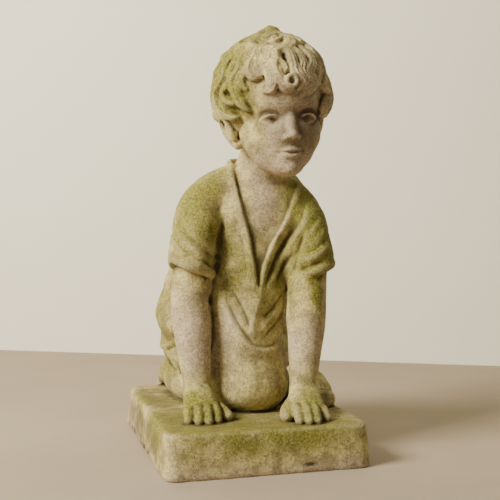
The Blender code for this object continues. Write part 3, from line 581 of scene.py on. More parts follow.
# The lids and the lips on one side, from the middle outwards.
UPPER_LID = ((13, -64, -20), (17.5, -68.8, -15.4), (25, -71, -12.4), (33, -68.2, -13.8), (39, -61, -18.5))
LOWER_LID = ((13, -64.5, -20.5), (19, -68.4, -23.4), (26, -69.4, -24.4), (33, -66.4, -22.8), (39, -61, -19))
LIPS = (
    (
        (17, -68.5, -61.5, 1.6, 1.5),
        (9, -74.6, -59.6, 3, 3.1),
        (2.8, -76.6, -58.2, 3.2, 3.4),
        (0, -76.2, -59.2, 3.2, 3.3),
    ),
    ((15.5, -68.5, -63, 1.5, 1.5), (8, -73.8, -65.4, 3.4, 3.7), (0, -75.4, -66.2, 3.8, 4.1)),
)


def face(clay):
    """A small child's features, to the usual proportions, laid on the head's base."""
    clay.ball((0, -82.5, -39), (7.6, 7, 6.8))
    for side in (-1, 1):
        clay.ball((side * 8, -78.5, -41.5), (5, 5.8, 4.6))
        clay.ball((side * 26, -57, -18), (12.5, 12.3, 12.5))
        for line, wide, thick in ((UPPER_LID, 1.9, 1.6), (LOWER_LID, 1.5, 1.3)):
            clay.tube([(side * x, y, z, wide, thick) for x, y, z in line], count=20, sides=12)
        for rows in LIPS:
            clay.tube(rows * other_side(side), count=14, sides=12)


def iris(side):
    turns = np.radians(np.arange(0, 361, 30))
    return [(side * 26 + 4.6 * math.cos(a), -18 + 4.6 * math.sin(a)) for a in turns]


def ear(clay, side):
    """A rim round a shallow bowl, with a lobe below."""
    rim = [
        (61, -6, -44),
        (66, -7, -32),
        (71, 1, -18),
        (74, 12, -13),
        (73, 21, -20),
        (68, 18, -36),
        (61, 8, -49),
        (56, 0, -55),
    ]
    clay.tube([(side * x, y, z, 3.2, 3.6) for x, y, z in rim], facing=(1, 0, 0), count=32, sides=12)
    fold = [(64, 2, -24), (68, 9, -24), (67, 12, -31), (62, 6, -40)]
    clay.tube([(side * x, y, z, 2.2, 2.4) for x, y, z in fold], facing=(1, 0, 0), count=16, sides=10)
    clay.ball((side * 59, 7, -32), (9, 13, 18))
    clay.ball((side * 60, -5, -37), (4.5, 4, 5.5))
    clay.ball((side * 54, 1, -50), (8, 9, 9))


def all_locks():
    """Every lock as its width, thickness, line and seed: the rows, then those listed one by one."""
    chance = np.random.default_rng(5)
    seed = len(OWN_LOCKS)
    for count, top, bottom, (first, last), wide, lift in LOCK_ROWS:
        for k in range(round(count)):
            theta = first + (last - first) * (k + 0.5 + chance.uniform(-0.2, 0.2)) / count
            fall = (bottom - top) * chance.uniform(0.85, 1.15)
            way = -1 if (k + top) // WAVE_GROUP % 2 else 1
            sway = way * chance.uniform(9, 14)
            hook = way * chance.uniform(4, 20)
            line = [
                (theta, top, lift - 3),
                (theta + sway, top + fall * 0.3, lift),
                (theta - sway * 0.5, top + fall * 0.6, lift + 1),
                (theta + sway * 0.3, top + fall * 0.9, lift + chance.uniform(1, 4)),
                (theta + sway * 0.3 + hook, top + fall * chance.uniform(0.86, 1.04), lift),
            ]
            seed += 1
            yield wide * chance.uniform(0.75, 1.1), LOCK_THICKNESS, line, seed
    for seed, (wide, thick, line) in enumerate(OWN_LOCKS):
        yield wide, thick, line, seed


def lock_path(line, chance):
    """A waving path over the hair: its places, the ways out of it and across the path, and its swell."""
    line = spline(line, 4 * len(line))
    share = np.linspace(0, 1, len(line))
    swell = np.interp(share, (0, 0.2, 0.5, 0.8, 1), (0.6, 0.95, 1.05, 0.85, 0.25))
    path = on_hair(line[:, 0], line[:, 1], line[:, 2])
    out = unit_vector(path - HAIR_CENTRE)
    across = unit_vector(np.cross(np.gradient(path, axis=0), out))
    wave = LOCK_WAVE * np.sin(2 * math.pi * (1.6 * share + chance.uniform()))
    return path + across * (wave * np.interp(share, (0, 0.2, 1), (0.2, 1, 1)))[:, None], out, across, swell


def on_hair(theta, phi, lift):
    """A place on the hair: theta turns from the face to the child's left, phi falls from the crown."""
    theta, phi = np.radians(theta), np.radians(phi)
    way = np.stack([np.sin(phi) * np.sin(theta), -np.sin(phi) * np.cos(theta), np.cos(phi)], axis=-1)
    return HAIR_CENTRE + way * (HAIR_RADII + np.asarray(lift, float)[..., None])


def laid(lock_lines, wide, thick, share, sink=0.0):
    """A line along a lock: the share runs from -1 to 1 across it."""
    path, out, across, swell = lock_lines
    offset = share * wide * LOCK_SPREAD
    lift = thick * LOCK_ROUND * (1 - (offset / wide) ** 2) + sink
    return path + across * (offset * swell)[:, None] + out * (lift * np.sqrt(swell))[:, None]


def lock(clay, wide, thick, line, seed):
    """A tapering bundle of wavy strands over a soft core, along rows of theta, phi and lift."""
    chance = np.random.default_rng(seed)
    lock_lines = lock_path(line, chance)
    path, out, _, swell = lock_lines
    strands = math.ceil(wide / STRAND_WIDTH)
    core = (wide * CORE_WIDTH * swell, thick * CORE_THICKNESS * (0.3 + 0.7 * swell))
    rows = np.column_stack([path - out * CORE_DEPTH, *core])
    facing = out[len(out) // 2]
    clay.tube(rows, facing=facing, count=24, sides=14)
    for k in range(strands):
        sink = STRAND_SINK + chance.uniform(-1.2, 1.2)
        place = laid(lock_lines, wide, thick, 2 * (k + 0.5) / strands - 1, sink)
        size = wide / strands * (0.5 + 0.5 * swell) * chance.uniform(0.85, 1.12)
        rows = np.column_stack([place, size, size * 1.3])[: len(place) - k % 2]
        clay.tube(rows, facing=facing, count=30, sides=10, ends=0.8)


def lock_grooves():
    """Places along the lines between the strands of all locks, in the head's frame."""
    places = []
    for wide, thick, line, seed in all_locks():
        lock_lines = lock_path(line, np.random.default_rng(seed))
        strands = math.ceil(wide / STRAND_WIDTH)
        for k in range(1, strands):
            places.append(spline(laid(lock_lines, wide, thick, 2 * k / strands - 1), GROOVE_STEPS))
    return np.concatenate(places)


def in_head(points):
    """The points in the head's own frame."""
    return (points - HEAD_ORIGIN) @ np.linalg.inv(HEAD_FRAME).T


def carve_hair(skin):
    """Fine grooves between the strands of the locks, and combed hair between the locks."""
    near = np.flatnonzero(gap_to(skin.points, HEAD_CENTRE) < HAIR_REACH)
    own = in_head(skin.points[near])
    tree = tree_of(lock_grooves())
    gaps = np.array([tree.find(place)[2] for place in own])
    amount = np.zeros(len(skin.points))
    between = np.clip((gaps - COMB_CLEAR) / 2, 0, 1)
    amount[near] = -GROOVE_DEPTH * falloff(gaps, GROOVE_WIDTH) - COMB_DEPTH * between * combed(own)
    skin.push(amount)


def combed(own):
    """From 0 to 1: fine waving grooves that fall from the crown, above the hairline only."""
    way = (own - HAIR_CENTRE) / HAIR_RADII
    theta = np.arctan2(way[:, 0], -way[:, 1])
    phi = np.arctan2(np.hypot(way[:, 0], way[:, 1]), way[:, 2])
    hairline = np.interp(np.abs(np.degrees(theta)), *HAIRLINE)
    inside = np.clip((hairline - np.degrees(phi)) / 6, 0, 1) * np.clip(np.sin(phi) * 1.6 - 0.3, 0, 1)
    wave = 0.09 * np.sin(5 * phi + 3 * theta) + 0.05 * lumps(own, 22, 8)
    return inside * np.sin(COMB_GROOVES / 2 * (theta + wave)) ** 2


def tree_of(places):
    tree = KDTree(len(places))
    for k, place in enumerate(places):
        tree.insert(place, k)
    tree.balance()
    return tree


# How far out on a lock its strands reach, as a share of its width, how round they make it, as a share of
# its thickness, and how deep they lie in it.
LOCK_SPREAD = 0.82
LOCK_ROUND = 0.42
STRAND_SINK = -1.6
# The soft core under a lock's strands: how deep, and its width and thickness as shares of the lock's.
CORE_DEPTH = 3
CORE_WIDTH = 1.2
CORE_THICKNESS = 0.62
# Half the width of a strand, then its grooves: places in a line, depth, width and how far out hair reaches.
STRAND_WIDTH = 2.4
GROOVE_STEPS = 130
GROOVE_DEPTH = 1.1
GROOVE_WIDTH = 1.3
HAIR_REACH = 112
# Combed hair between the locks: how deep, how far from their grooves, how many grooves round the head, and
# where it ends: theta, then phi.
COMB_DEPTH = 0.9
COMB_CLEAR = 3
COMB_GROOVES = 124
HAIRLINE = ((0, 50, 70, 95, 180), (54, 64, 92, 116, 126))
# How far a lock waves to its sides, and a usual lock's thickness.
LOCK_WAVE = 1.7
LOCK_THICKNESS = 8
# Each row of locks: how many, the falls from the crown they span, the sides they cover, width and lift.
LOCK_ROWS = (
    (10, 8, 40, (-170, 180), 9, 6),
    (12, 24, 60, (66, 262), 9, 7),
    (14, 42, 80, (72, 258), 9, 6.5),
    (14, 60, 98, (76, 258), 9, 6),
    (14, 78, 114, (80, 256), 9, 5),
    (12, 98, 128, (96, 256), 9, 3),
)

# Locks that are listed one by one: width, thickness, and the line as theta, phi and lift.
OWN_LOCKS = (
    (8, 8, [(-64, 18, 3), (-60, 10, 8), (-13, 6, 14), (39, 10, 10), (50, 16, 6)]),
    (7, 7, [(-43, 24, 6), (-45, 9, 10), (30, 8, 12), (50, 14, 7)]),
    (7, 7, [(46, 12, 9), (-7, 20, 10), (-24, 26, 9), (-46, 24, 6)]),
    (8, 7, [(-25, 21, 7), (-49, 30, 9), (-63, 39, 9), (-70, 50, 7)]),
    (8, 7, [(46, 12, 7), (22, 26, 9), (12, 40, 9), (-4, 50, 8)]),
    (9, 8, [(-73, 32, 6), (-91, 48, 8), (-106, 60, 9), (-108, 72, 10), (-94, 82, 9), (-112, 92, 8)]),
    (9, 8, [(-84, 76, 8), (-102, 86, 10), (-114, 97, 11), (-112, 108, 12), (-96, 114, 9)]),
    (9, 8, [(-56, 36, 6), (-71, 49, 8), (-80, 61, 8), (-77, 74, 9), (-89, 86, 11), (-86, 98, 12),
            (-74, 107, 12), (-58, 110, 9)]),
    (7, 7, [(-45, 39, 6), (-60, 51, 8), (-66, 65, 9), (-63, 78, 9), (-72, 88, 10), (-66, 97, 10),
            (-54, 99, 8)]),
    (8, 8, [(-40, 40, 6), (-51, 54, 8), (-53, 67, 9), (-61, 78, 9), (-56, 90, 9), (-48, 99, 8),
            (-43, 105, 5)]),
    (7, 7, [(-34, 40, 7), (-43, 54, 8), (-49, 66, 8), (-50, 77, 7), (-45, 86, 5)]),
    (8, 7, [(-29, 38, 7), (-37, 53, 9), (-41, 64, 9), (-36, 72, 9), (-29, 75, 7)]),
    (8, 8, [(-23, 40, 7), (-27, 55, 9), (-21, 67, 10), (-17, 77, 10), (-20, 85, 9), (-28, 86, 6)]),
    (6, 6, [(-27, 36, 7), (-33, 49, 9), (-32, 61, 9), (-25, 70, 9)]),
    (8, 8, [(-17, 42, 7), (-11, 56, 9), (-15, 67, 9), (-12, 77, 10), (-5, 84, 9), (3, 86, 7)]),
    (7, 7, [(-3, 42, 7), (-14, 50, 9), (-13, 60, 9), (-6, 67, 8), (-6, 74, 7)]),
    (7, 8, [(-1, 42, 8), (6, 53, 9), (8, 63, 9), (7, 73, 10), (13, 80, 10), (9, 88, 7)]),
    (7, 8, [(11, 42, 7), (19, 53, 9), (20, 62, 9), (14, 71, 10), (19, 80, 10), (17, 90, 7), (11, 93, 5)]),
    (7, 8, [(28, 42, 7), (33, 53, 9), (32, 64, 9), (24, 73, 10), (27, 82, 9), (20, 92, 6)]),
    (9, 8, [(52, 16, 4), (58, 27, 7), (58, 40, 7), (47, 53, 9), (46, 64, 9), (34, 74, 9), (35, 84, 7)]),
    (9, 8, [(62, 20, 4), (70, 34, 6), (70, 48, 7), (64, 60, 7), (66, 70, 7), (50, 79, 8), (56, 88, 6)]),
    (10, 9, [(62, 74, 7), (72, 86, 9), (66, 97, 11), (68, 107, 10), (52, 116, 7)]),
    (8, 8, [(46, 84, 7), (56, 94, 10), (48, 104, 11), (42, 113, 7)]),
)

# The ring of hair over the forehead: theta, phi, lift and radius.
CURL = (0, 80, 13, 6.5)
# So many neighbouring locks wave the same way.
WAVE_GROUP = 4


def curl(clay, theta, phi, lift, radius):
    """A small ring of hair that lies flat on the hair."""
    turns = np.radians(np.arange(0, 380, 30))
    spread = radius / HAIR_RADII.mean()
    line = [
        on_hair(theta + math.degrees(spread * math.cos(a)), phi + math.degrees(spread * math.sin(a)), lift)
        for a in turns
    ]
    rows = np.column_stack([line, np.full(len(line), 3.2), np.full(len(line), 3.6)])
    clay.tube(rows, facing=unit_vector(line[0] - HAIR_CENTRE), count=30, sides=10)


def hair(clay):
    """A cap of hair with locks laid over it."""
    clay.ball(HAIR_CENTRE + (0, 5, 4), HAIR_RADII + (6.5, 5, 7))
    clay.ball((0, 38, -6), (67, 60, 55))
    for side in (-1, 1):
        clay.ball((side * 60, 12, 6), (20, 30, 28))
    for wide, thick, line, seed in all_locks():
        lock(clay, wide, thick, line, seed)
    curl(clay, *CURL)


def head(coarse, fine):
    """The head in its place on the neck, still as separate forms."""
    clay = Clay()
    clay.take(head_base(coarse, fine))
    face(clay)
    for side in (-1, 1):
        ear(clay, side)
    hair(clay)
    made = clay.mesh()
    made.transform(HEAD_PLACED)
    return made


LID_FOLD = ((13, -15), (18, -8.5), (26, -5.5), (35, -8), (42, -14))
# Drawn on the face from its front, before the head is turned.
FACE_STROKES = (
    ("groove", 1.5, 1.7, [(-16, -61.6), (-9, -61.6), (0, -63), (9, -61.6), (16, -61.6)]),
    *(("groove", 1.4, 0.5, [(side * x, z) for x, z in LID_FOLD]) for side in (-1, 1)),
    *(("groove", 1.2, 0.8, iris(side)) for side in (-1, 1)),
)


FACE_DENTS = (
    ((4, -86, -45.5), (2.3, 5, 2), (0, 2.8, 2)),
    ((17.5, -74, -61.6), (2.6, 6, 2.6), (0, 1.6, 0)),
    ((25.4, -70, -17.2), (2.4, 4, 2.4), (0, 2.2, 0)),
)


# Drawn from FRONT_VIEW: u runs to the viewer's right and v is the height above the plinth.
FRONT_STROKES = (
    ("step", 9, 3.4, [(27, 162), (24, 190), (18, 226), (10, 258), (-1, 300), (-8, 334)]),
    ("groove", 2.6, 1, [(13, 184), (8, 218), (-1, 258), (-10, 296)]),
    ("ridge", 5.5, 4.2, [(86, 300), (77, 276), (67, 254), (52, 230), (42, 206), (34, 176)]),
    ("step", 5, 3.4, [(82, 302), (71, 274), (60, 248), (44, 222), (34, 194), (29, 162)]),
    ("groove", 3, 3, [(94, 286), (84, 258), (70, 234), (54, 208), (44, 184), (36, 160)]),
    ("ridge", 4.5, 2.4, [(96, 270), (84, 240), (64, 210), (52, 186), (42, 162)]),
    ("groove", 3, 2.2, [(92, 246), (76, 216), (61, 192), (50, 166)]),
    ("step", 9, 4.2, [(60, 92), (50, 87), (40, 86), (28, 87), (19, 92), (8, 106), (-2, 121), (-11, 140),
                      (-22, 158)]),
    ("ridge", 4, 2.6, [(34, 162), (26, 142), (21, 118), (22, 100)]),
    ("groove", 3, 2.4, [(-8, 164), (3, 147), (12, 129), (18, 108)]),
    ("ridge", 4.6, 2.8, [(64, 148), (54, 134), (40, 121), (31, 104)]),
    ("groove", 3, 2.4, [(68, 134), (58, 122), (46, 110), (34, 98)]),
    ("ridge", 4.2, 2.4, [(68, 120), (58, 109), (46, 100)]),
    ("groove", 3, 2.4, [(64, 160), (54, 146), (44, 134), (34, 124)]),
    ("ridge", 4, 2.2, [(66, 172), (54, 158), (46, 146)]),
    ("groove", 3.8, 2, [(-80, 256), (-70, 244), (-58, 230), (-44, 218), (-34, 206)]),
    ("ridge", 6, 2, [(-82, 240), (-66, 226), (-50, 212), (-38, 202)]),
    ("step", 5, 3, [(-30, 196), (-42, 199), (-57, 207), (-70, 217), (-81, 231), (-88, 242)]),
    ("groove", 3, 2.4, [(-24, 204), (-31, 208), (-40, 214)]),
    ("groove", 3, 2.6, [(-32, 250), (-30, 238), (-27, 226)]),
    ("groove", 4, 4, [(-17, 262), (-21, 234), (-24, 206), (-26, 182)]),
    ("groove", 4, 4, [(86, 240), (80, 222), (75, 202), (72, 182)]),
    ("groove", 3.8, 2.4, [(124, 234), (113, 224), (101, 216), (82, 209)]),
    ("ridge", 5.4, 1.8, [(124, 224), (112, 213), (98, 206), (80, 200)]),
    ("groove", 3.8, 2, [(126, 213), (112, 203), (95, 193), (76, 189)]),
    ("groove", 3.6, 1.6, [(115, 250), (104, 235), (92, 225)]),
    ("groove", 2.6, 1.8, [(112, 262), (100, 250), (91, 238)]),
    ("step", 7, 3, [(-76, 40), (-90, 58), (-106, 78)]),
)

# From the child's right side: the back of the shirt, the shorts and the folded leg.
SIDE_STROKES = (
    ("step", 8, 4, [(-120, 74), (-90, 68), (-60, 74), (-30, 84), (0, 96)]),
    ("groove", 4, 4, [(-140, 46), (-110, 54), (-70, 50), (-30, 46), (10, 44)]),
    ("groove", 5, 3, [(-20, 190), (-46, 160), (-80, 130)]),
    ("ridge", 6, 2.5, [(-30, 200), (-58, 170), (-96, 138)]),
    ("groove", 5, 2.6, [(-12, 160), (-40, 132), (-76, 106)]),
)
OTHER_SIDE_STROKES = (
    ("step", 8, 4, [(10, 96), (36, 84), (64, 74), (92, 68), (120, 74)]),
    ("groove", 4, 4, [(-10, 44), (30, 46), (70, 48), (100, 44)]),
    ("groove", 5, 3, [(30, 190), (54, 160), (86, 130)]),
    ("ridge", 6, 2.5, [(38, 200), (64, 170), (100, 138)]),
)
BACK_STROKES = (
    ("groove", 9, 4, [(-12, 300), (-10, 240), (-8, 180), (-8, 130)]),
    ("step", 8, 4, [(70, 66), (40, 62), (0, 64), (-40, 62), (-80, 66)]),
    ("groove", 5, 3, [(-64, 220), (-40, 180), (-30, 130)]),
    ("groove", 5, 3, [(46, 220), (24, 180), (14, 130)]),
    ("ridge", 6, 2.4, [(-76, 190), (-58, 150), (-54, 110)]),
    ("ridge", 6, 2.4, [(58, 190), (42, 150), (38, 110)]),
)


def figure(coarse, fine):
    """The whole figure's skin on the plinth's top, in the figure's units."""
    clay = Clay()
    clay.take(body(coarse))
    clay.take(head(coarse, fine))
    hands_and_feet(clay)
    sleeves(clay)
    skin = Surface(clay.joined(fine, rounds=1))
    for place, radius, rounds in SOFT_PLACES:
        skin.soften(rounds, falloff(gap_to(skin.points, place), radius))
    for strokes, view in (
        (FRONT_STROKES, FRONT_VIEW),
        (SIDE_STROKES, -90),
        (OTHER_SIDE_STROKES, 90),
        (BACK_STROKES, 180),
    ):
        carve(skin, strokes, view)
    return skin.store()


def carve_face(skin):
    """The lids, the eyes and the mouth, drawn in the head's own frame."""
    skin.points = in_head(skin.points)
    carve(skin, FACE_STROKES, 0)
    dent(skin, mirrored(FACE_DENTS))
    skin.points = skin.points @ HEAD_FRAME.T + HEAD_ORIGIN


# Where forms that were laid over each other are smoothed into one: a place, a reach and how many rounds.
SOFT_PLACES = (
    ((-69, -64, 44), 20, 60),
    ((66, -92, 44), 20, 60),
    ((-66, -28, 232), 34, 8),
    ((86, -45, 230), 34, 8),
    ((0, -60, 60), 40, 8),
)


def rounded_rectangle(width, depth, radius, height):
    """The corners of a rounded rectangle about the origin, anticlockwise."""
    places = []
    for quarter in range(4):
        x = (width / 2 - radius) * (1 if quarter in (0, 3) else -1)
        y = (depth / 2 - radius) * (1 if quarter in (0, 1) else -1)
        for step in range(CORNER_STEPS + 1):
            angle = math.pi / 2 * (quarter + step / CORNER_STEPS)
            places.append((x + radius * math.cos(angle), y + radius * math.sin(angle), height))
    return places


def plinth():
    """The block: its sides lean in by the draft, and its top edge is round."""
    block = Clay()
    foot_edge = PLINTH_EDGE_RADIUS / 3
    insets = [(foot_edge, 0), (0, foot_edge)]
    for step in range(EDGE_STEPS + 1):
        angle = math.pi / 2 * step / EDGE_STEPS
        rise = PLINTH_EDGE_RADIUS * (1 - math.sin(angle))
        insets.append((PLINTH_DRAFT + PLINTH_EDGE_RADIUS * (1 - math.cos(angle)), PLINTH_HEIGHT - rise))
    block.skin_over(
        rounded_rectangle(PLINTH_WIDTH - 2 * inset, PLINTH_DEPTH - 2 * inset, PLINTH_CORNER_RADIUS, height)
        for inset, height in insets
    )
    return block.mesh()


# Uneven casting, on the whole and on the plinth: how high, how wide and the seed of each set of lumps.
CAST_LUMPS = ((0.35, 19, 1), (0.22, 7, 2))
PLINTH_LUMPS = ((0.7, 26, 3), (0.35, 9, 4))
# Chips along the plinth's foot: how deep and how high up, how far they reach, and their lumps.
CHIP_DEPTH = 2.6
CHIP_HEIGHT = 3
CHIP_REACH = 7
CHIP_LUMPS = ((1, 11, 5), (0.6, 4.5, 6))
CHIP_LEAST = 0.25
# A pit in the plinth's front.
PIT_X = 48
PIT_Y = -168
PIT_Z = -45
PIT_RADII = (9, 4, 2.2)
PIT_DEPTH = 2.4
PIT_LEAST = 0.8
PIT_LUMPS = ((1, 3, 11),)
# How far and how much the plinth's edges are worn.
EDGE_REACH = 5
EDGE_ROUNDS = 10
# Points of the underside start this near the floor, are worn up no further than the second, and are laid
# flat as far up as the third.
UNDER_START = 1
UNDER_MOST = 0.9
UNDER_FLAT = 1.2


def lumps(points, size, seed):
    """Smooth random values from -1 to 1 that change over the given size."""
    count = 32
    table = np.random.default_rng(seed).uniform(-1, 1, (count, count, count))
    place = points / size
    corner = np.floor(place).astype(int)
    t = place - corner
    t = t * t * (3 - 2 * t)
    total = np.zeros(len(points))
    for dx in (0, 1):
        for dy in (0, 1):
            for dz in (0, 1):
                weight = np.abs(1 - dx - t[:, 0]) * np.abs(1 - dy - t[:, 1]) * np.abs(1 - dz - t[:, 2])
                i, j, k = ((corner + (dx, dy, dz)) % count).T
                total += weight * table[i, j, k]
    return total


def heap(points, rows):
    """The sum of some sets of lumps."""
    return sum(high * lumps(points, size, seed) for high, size, seed in rows)


def plinth_edges(points):
    """From 0 to 1: how near each point is to the plinth's top edge or an upright corner."""
    half = np.array([PLINTH_WIDTH, PLINTH_DEPTH]) / 2 / UNIT
    aside = np.clip(1 - (half - np.abs(points[:, :2])) / EDGE_REACH, 0, 1)
    rise = np.clip(1 + points[:, 2] / EDGE_REACH, 0, 1)
    low = np.clip((points[:, 2] - FLOOR - 2) / 4, 0, 1)
    below = points[:, 2] < 2
    return below * low * np.maximum(aside.min(axis=1), rise * aside.max(axis=1))


def weathered(skin):
    """Uneven casting: slow lumps over the figure, and a worn, chipped plinth."""
    points = skin.points
    block = np.clip(-points[:, 2] / 3, 0, 1)
    amount = heap(points, CAST_LUMPS) + block * heap(points, PLINTH_LUMPS)
    edge = np.clip(1 - np.abs(points[:, 2] - FLOOR - CHIP_HEIGHT) / CHIP_REACH, 0, 1)
    amount -= edge * np.clip(heap(points, CHIP_LUMPS) - CHIP_LEAST, 0, 1) * CHIP_DEPTH
    bottom = points[:, 2] < FLOOR + UNDER_START
    skin.push(amount)
    flat = (points - (PIT_X, PIT_Y, PIT_Z)) / PIT_RADII
    ragged = np.clip(PIT_LEAST + heap(points, PIT_LUMPS), 0, 1)
    skin.push(-PIT_DEPTH * falloff(np.linalg.norm(flat, axis=1), 1) * ragged)
    skin.soften(EDGE_ROUNDS, plinth_edges(skin.points))
    skin.points[bottom, 2] = np.minimum(skin.points[bottom, 2], FLOOR + UNDER_MOST)
    return skin


# Where the skin keeps more of its triangles: the middle and the reach of the head and of each hand.
KEPT_PLACES = ((HEAD_CENTRE, 112), ((-70, -100, 10), 36), ((60, -125, 10), 36))


def statue():
    """The figure and the plinth in one skin, in the figure's units, with how hollow each point lies."""
    clay = Clay()
    clay.take(figure(COARSE_VOXEL, FINE_VOXEL))
    clay.forms.transform(placing((0, 0, -SETTLED), np.eye(3)))
    block = plinth()
    block.transform(placing((0, 0, FLOOR), np.eye(3), 1 / UNIT))
    clay.take(block)
    skin = weathered(Surface(clay.joined(FINE_VOXEL, rounds=0)))
    skin.points[:, 2] += SETTLED
    carve_face(skin)
    carve_hair(skin)
    skin.points[:, 2] -= SETTLED
    hollow = hollowness(skin)
    places = skin.points.copy()
    near = [gap_to(places, place) < radius for place, radius in KEPT_PLACES]
    mesh = skin.store()
    settings = {
        "ratio": MOST_TRIANGLES / sum(len(face.vertices) - 2 for face in mesh.polygons),
        "vertex_group": KEPT,
        "invert_vertex_group": True,
        "vertex_group_factor": KEPT_FACTOR,
    }
    mesh = evaluated(mesh, [("DECIMATE", settings)], kept=np.flatnonzero(np.any(near, axis=0)).tolist())
    skin = Surface(mesh)
    hollow = hollow[nearest(skin.points, places)]
    skin.points[skin.points[:, 2] < FLOOR + UNDER_FLAT, 2] = FLOOR
    return skin, hollow


# How much algae there is anywhere, how much more on top, how much less on clean stone, and its lumps.
ALGAE_LEAST = 0.52
ALGAE_ON_TOP = 0.3
ALGAE_WASHED = 0.85
ALGAE_LUMPS = ((0.25, 24, 7),)
# Where more of it grows: a place, a reach and a strength, in the figure's units.
ALGAE = (
    ((-36, -60, 440), 60, 0.6),
    ((-30, 0, 450), 80, 0.45),
    ((30, -30, 505), 40, 1.1),
    ((-20, -90, 400), 30, 0.8),
    ((-2, -112, 360), 16, 0.5),
    ((-80, -30, 240), 60, 0.4),
    ((-80, -60, 212), 40, 0.3),
    ((-50, -20, 280), 50, 0.5),
    ((102, -50, 250), 50, 1.5),
    ((112, -62, 212), 34, 1.2),
    ((86, -84, 204), 20, 0.6),
    ((70, -50, 292), 34, 0.8),
    ((82, -90, 176), 7, 1.2),
    ((84, -92, 166), 5, 1.4),
    ((83, -93, 155), 6, 1.5),
    ((85, -94, 144), 5, 1.4),
    ((84, -95, 133), 4.5, 1.2),
    ((0, -70, 190), 60, 0.5),
    ((40, -80, 150), 50, 0.5),
    ((6, -80, 60), 50, 0.3),
    ((-104, 60, 110), 70, 0.5),
    ((-70, 120, 60), 80, 0.5),
    ((90, 80, 60), 80, 0.5),
    ((0, 80, 200), 90, 0.5),
    ((-60, -168, -12), 70, 0.45),
    ((10, -168, -14), 70, 0.4),
    ((90, -168, -18), 70, 0.45),
    ((-110, -80, 0), 60, 0.7),
    ((-131, 40, -6), 60, 0.7),
    ((-131, -90, -10), 60, 0.5),
    ((110, 20, 0), 80, 0.4),
    ((-80, -112, 10), 30, 0.25),
    ((60, -140, 10), 34, 0.25),
)
# Where the stone is washed clean and pinkish.
CLEAN = (
    ((44, -124, 372), 50, 1.0),
    ((62, -110, 340), 40, 0.6),
    ((70, -60, 410), 40, 0.4),
    ((30, -60, 290), 40, 0.8),
    ((30, -70, 240), 30, 0.5),
    ((-70, -70, 120), 46, 0.6),
    ((-70, -70, 70), 36, 0.5),
    ((64, -92, 96), 34, 0.6),
    ((4, -80, 110), 40, 0.2),
    ((-131, -70, -34), 44, 0.4),
    ((-131, 20, -30), 60, 0.4),
    ((-131, 110, -30), 60, 0.4),
    *(((x, -169, -58), 22, 0.8) for x in range(-110, 120, 36)),
)
# Less of the dirt and painted shade in creases stays on the face and the hair, and hardly any over the
# upper lip. The lip is in the head's own frame.
FACE_MIDDLE = (44, -124, 372)
FACE_REACH = 44
FACE_LESS_DIRT_AND_SHADE = 0.5
UPPER_LIP = (0, -76, -51)
UPPER_LIP_REACH = 22
UPPER_LIP_LESS_DIRT_AND_SHADE = 0.9
HAIR_HEIGHT = 388
HAIR_START = 12
HAIR_LESS_DIRT_AND_SHADE = 0.35
# Wear at the plinth's foot: how strong, how high up, how far it reaches, its least and its lumps. There is
# less of it past a place on the child's left.
WORN = 1.5
WORN_HEIGHT = 2
WORN_REACH = 3.5
WORN_LEAST = 0.4
WORN_LUMPS = ((1, 13, 9),)
WORN_LESS_PAST = 40
WORN_LESS = 0.4
# Darker stone away from creases: a place, a reach and a strength. The first two are the pit's. The third is
# a painted shadow where the left foot meets the plinth, the fourth and the fifth are painted shade on the
# shaded side of the face, and the three on the plinth's left side are painted shade on that side.
DIRT_AND_PAINTED_SHADE = (
    ((PIT_X - 4, PIT_Y, PIT_Z), 3.5, 1.6),
    ((PIT_X + 3, PIT_Y, PIT_Z + 1), 3, 1.2),
    ((WRIST_L[0] + 40, -40, 2), 14, 0.5),
    ((76, -112, 374), 52, 0.8),
    ((40, -118, 360), 50, 0.28),
    ((14, -80, 200), 50, 0.25),
    ((60, -80, 290), 30, 0.2),
    *(((-131, y, -30), 70, 0.62) for y in (-80, 30, 120)),
    ((-30, -130, 0), 60, 0.3),
)


def reach(points, rows):
    total = np.zeros(len(points))
    for place, radius, strength in rows:
        total += strength * falloff(gap_to(points, place), radius)
    return total


# Rounds of smoothing that tell a crease from its surroundings, and what each set counts for.
HOLLOW_ROUNDS = ((4, 1.4), (12, 0.7), (30, 0.12))


def hollowness(skin):
    """How deep each point lies below its surroundings: positive in a crease, negative on an edge."""
    normals = skin.normals()
    total = np.zeros(len(skin.points))
    smooth = skin.points.copy()
    for rounds, share in HOLLOW_ROUNDS:
        for _ in range(rounds):
            smooth = skin.averaged(smooth)
        total += share * ((smooth - skin.points) * normals).sum(axis=1)
    for _ in range(2):
        total = skin.averaged(total)[:, 0]
    return total


def nearest(points, others):
    """For each point, the index of the nearest of the others."""
    tree = tree_of(others)
    return np.array([tree.find(point)[1] for point in points])


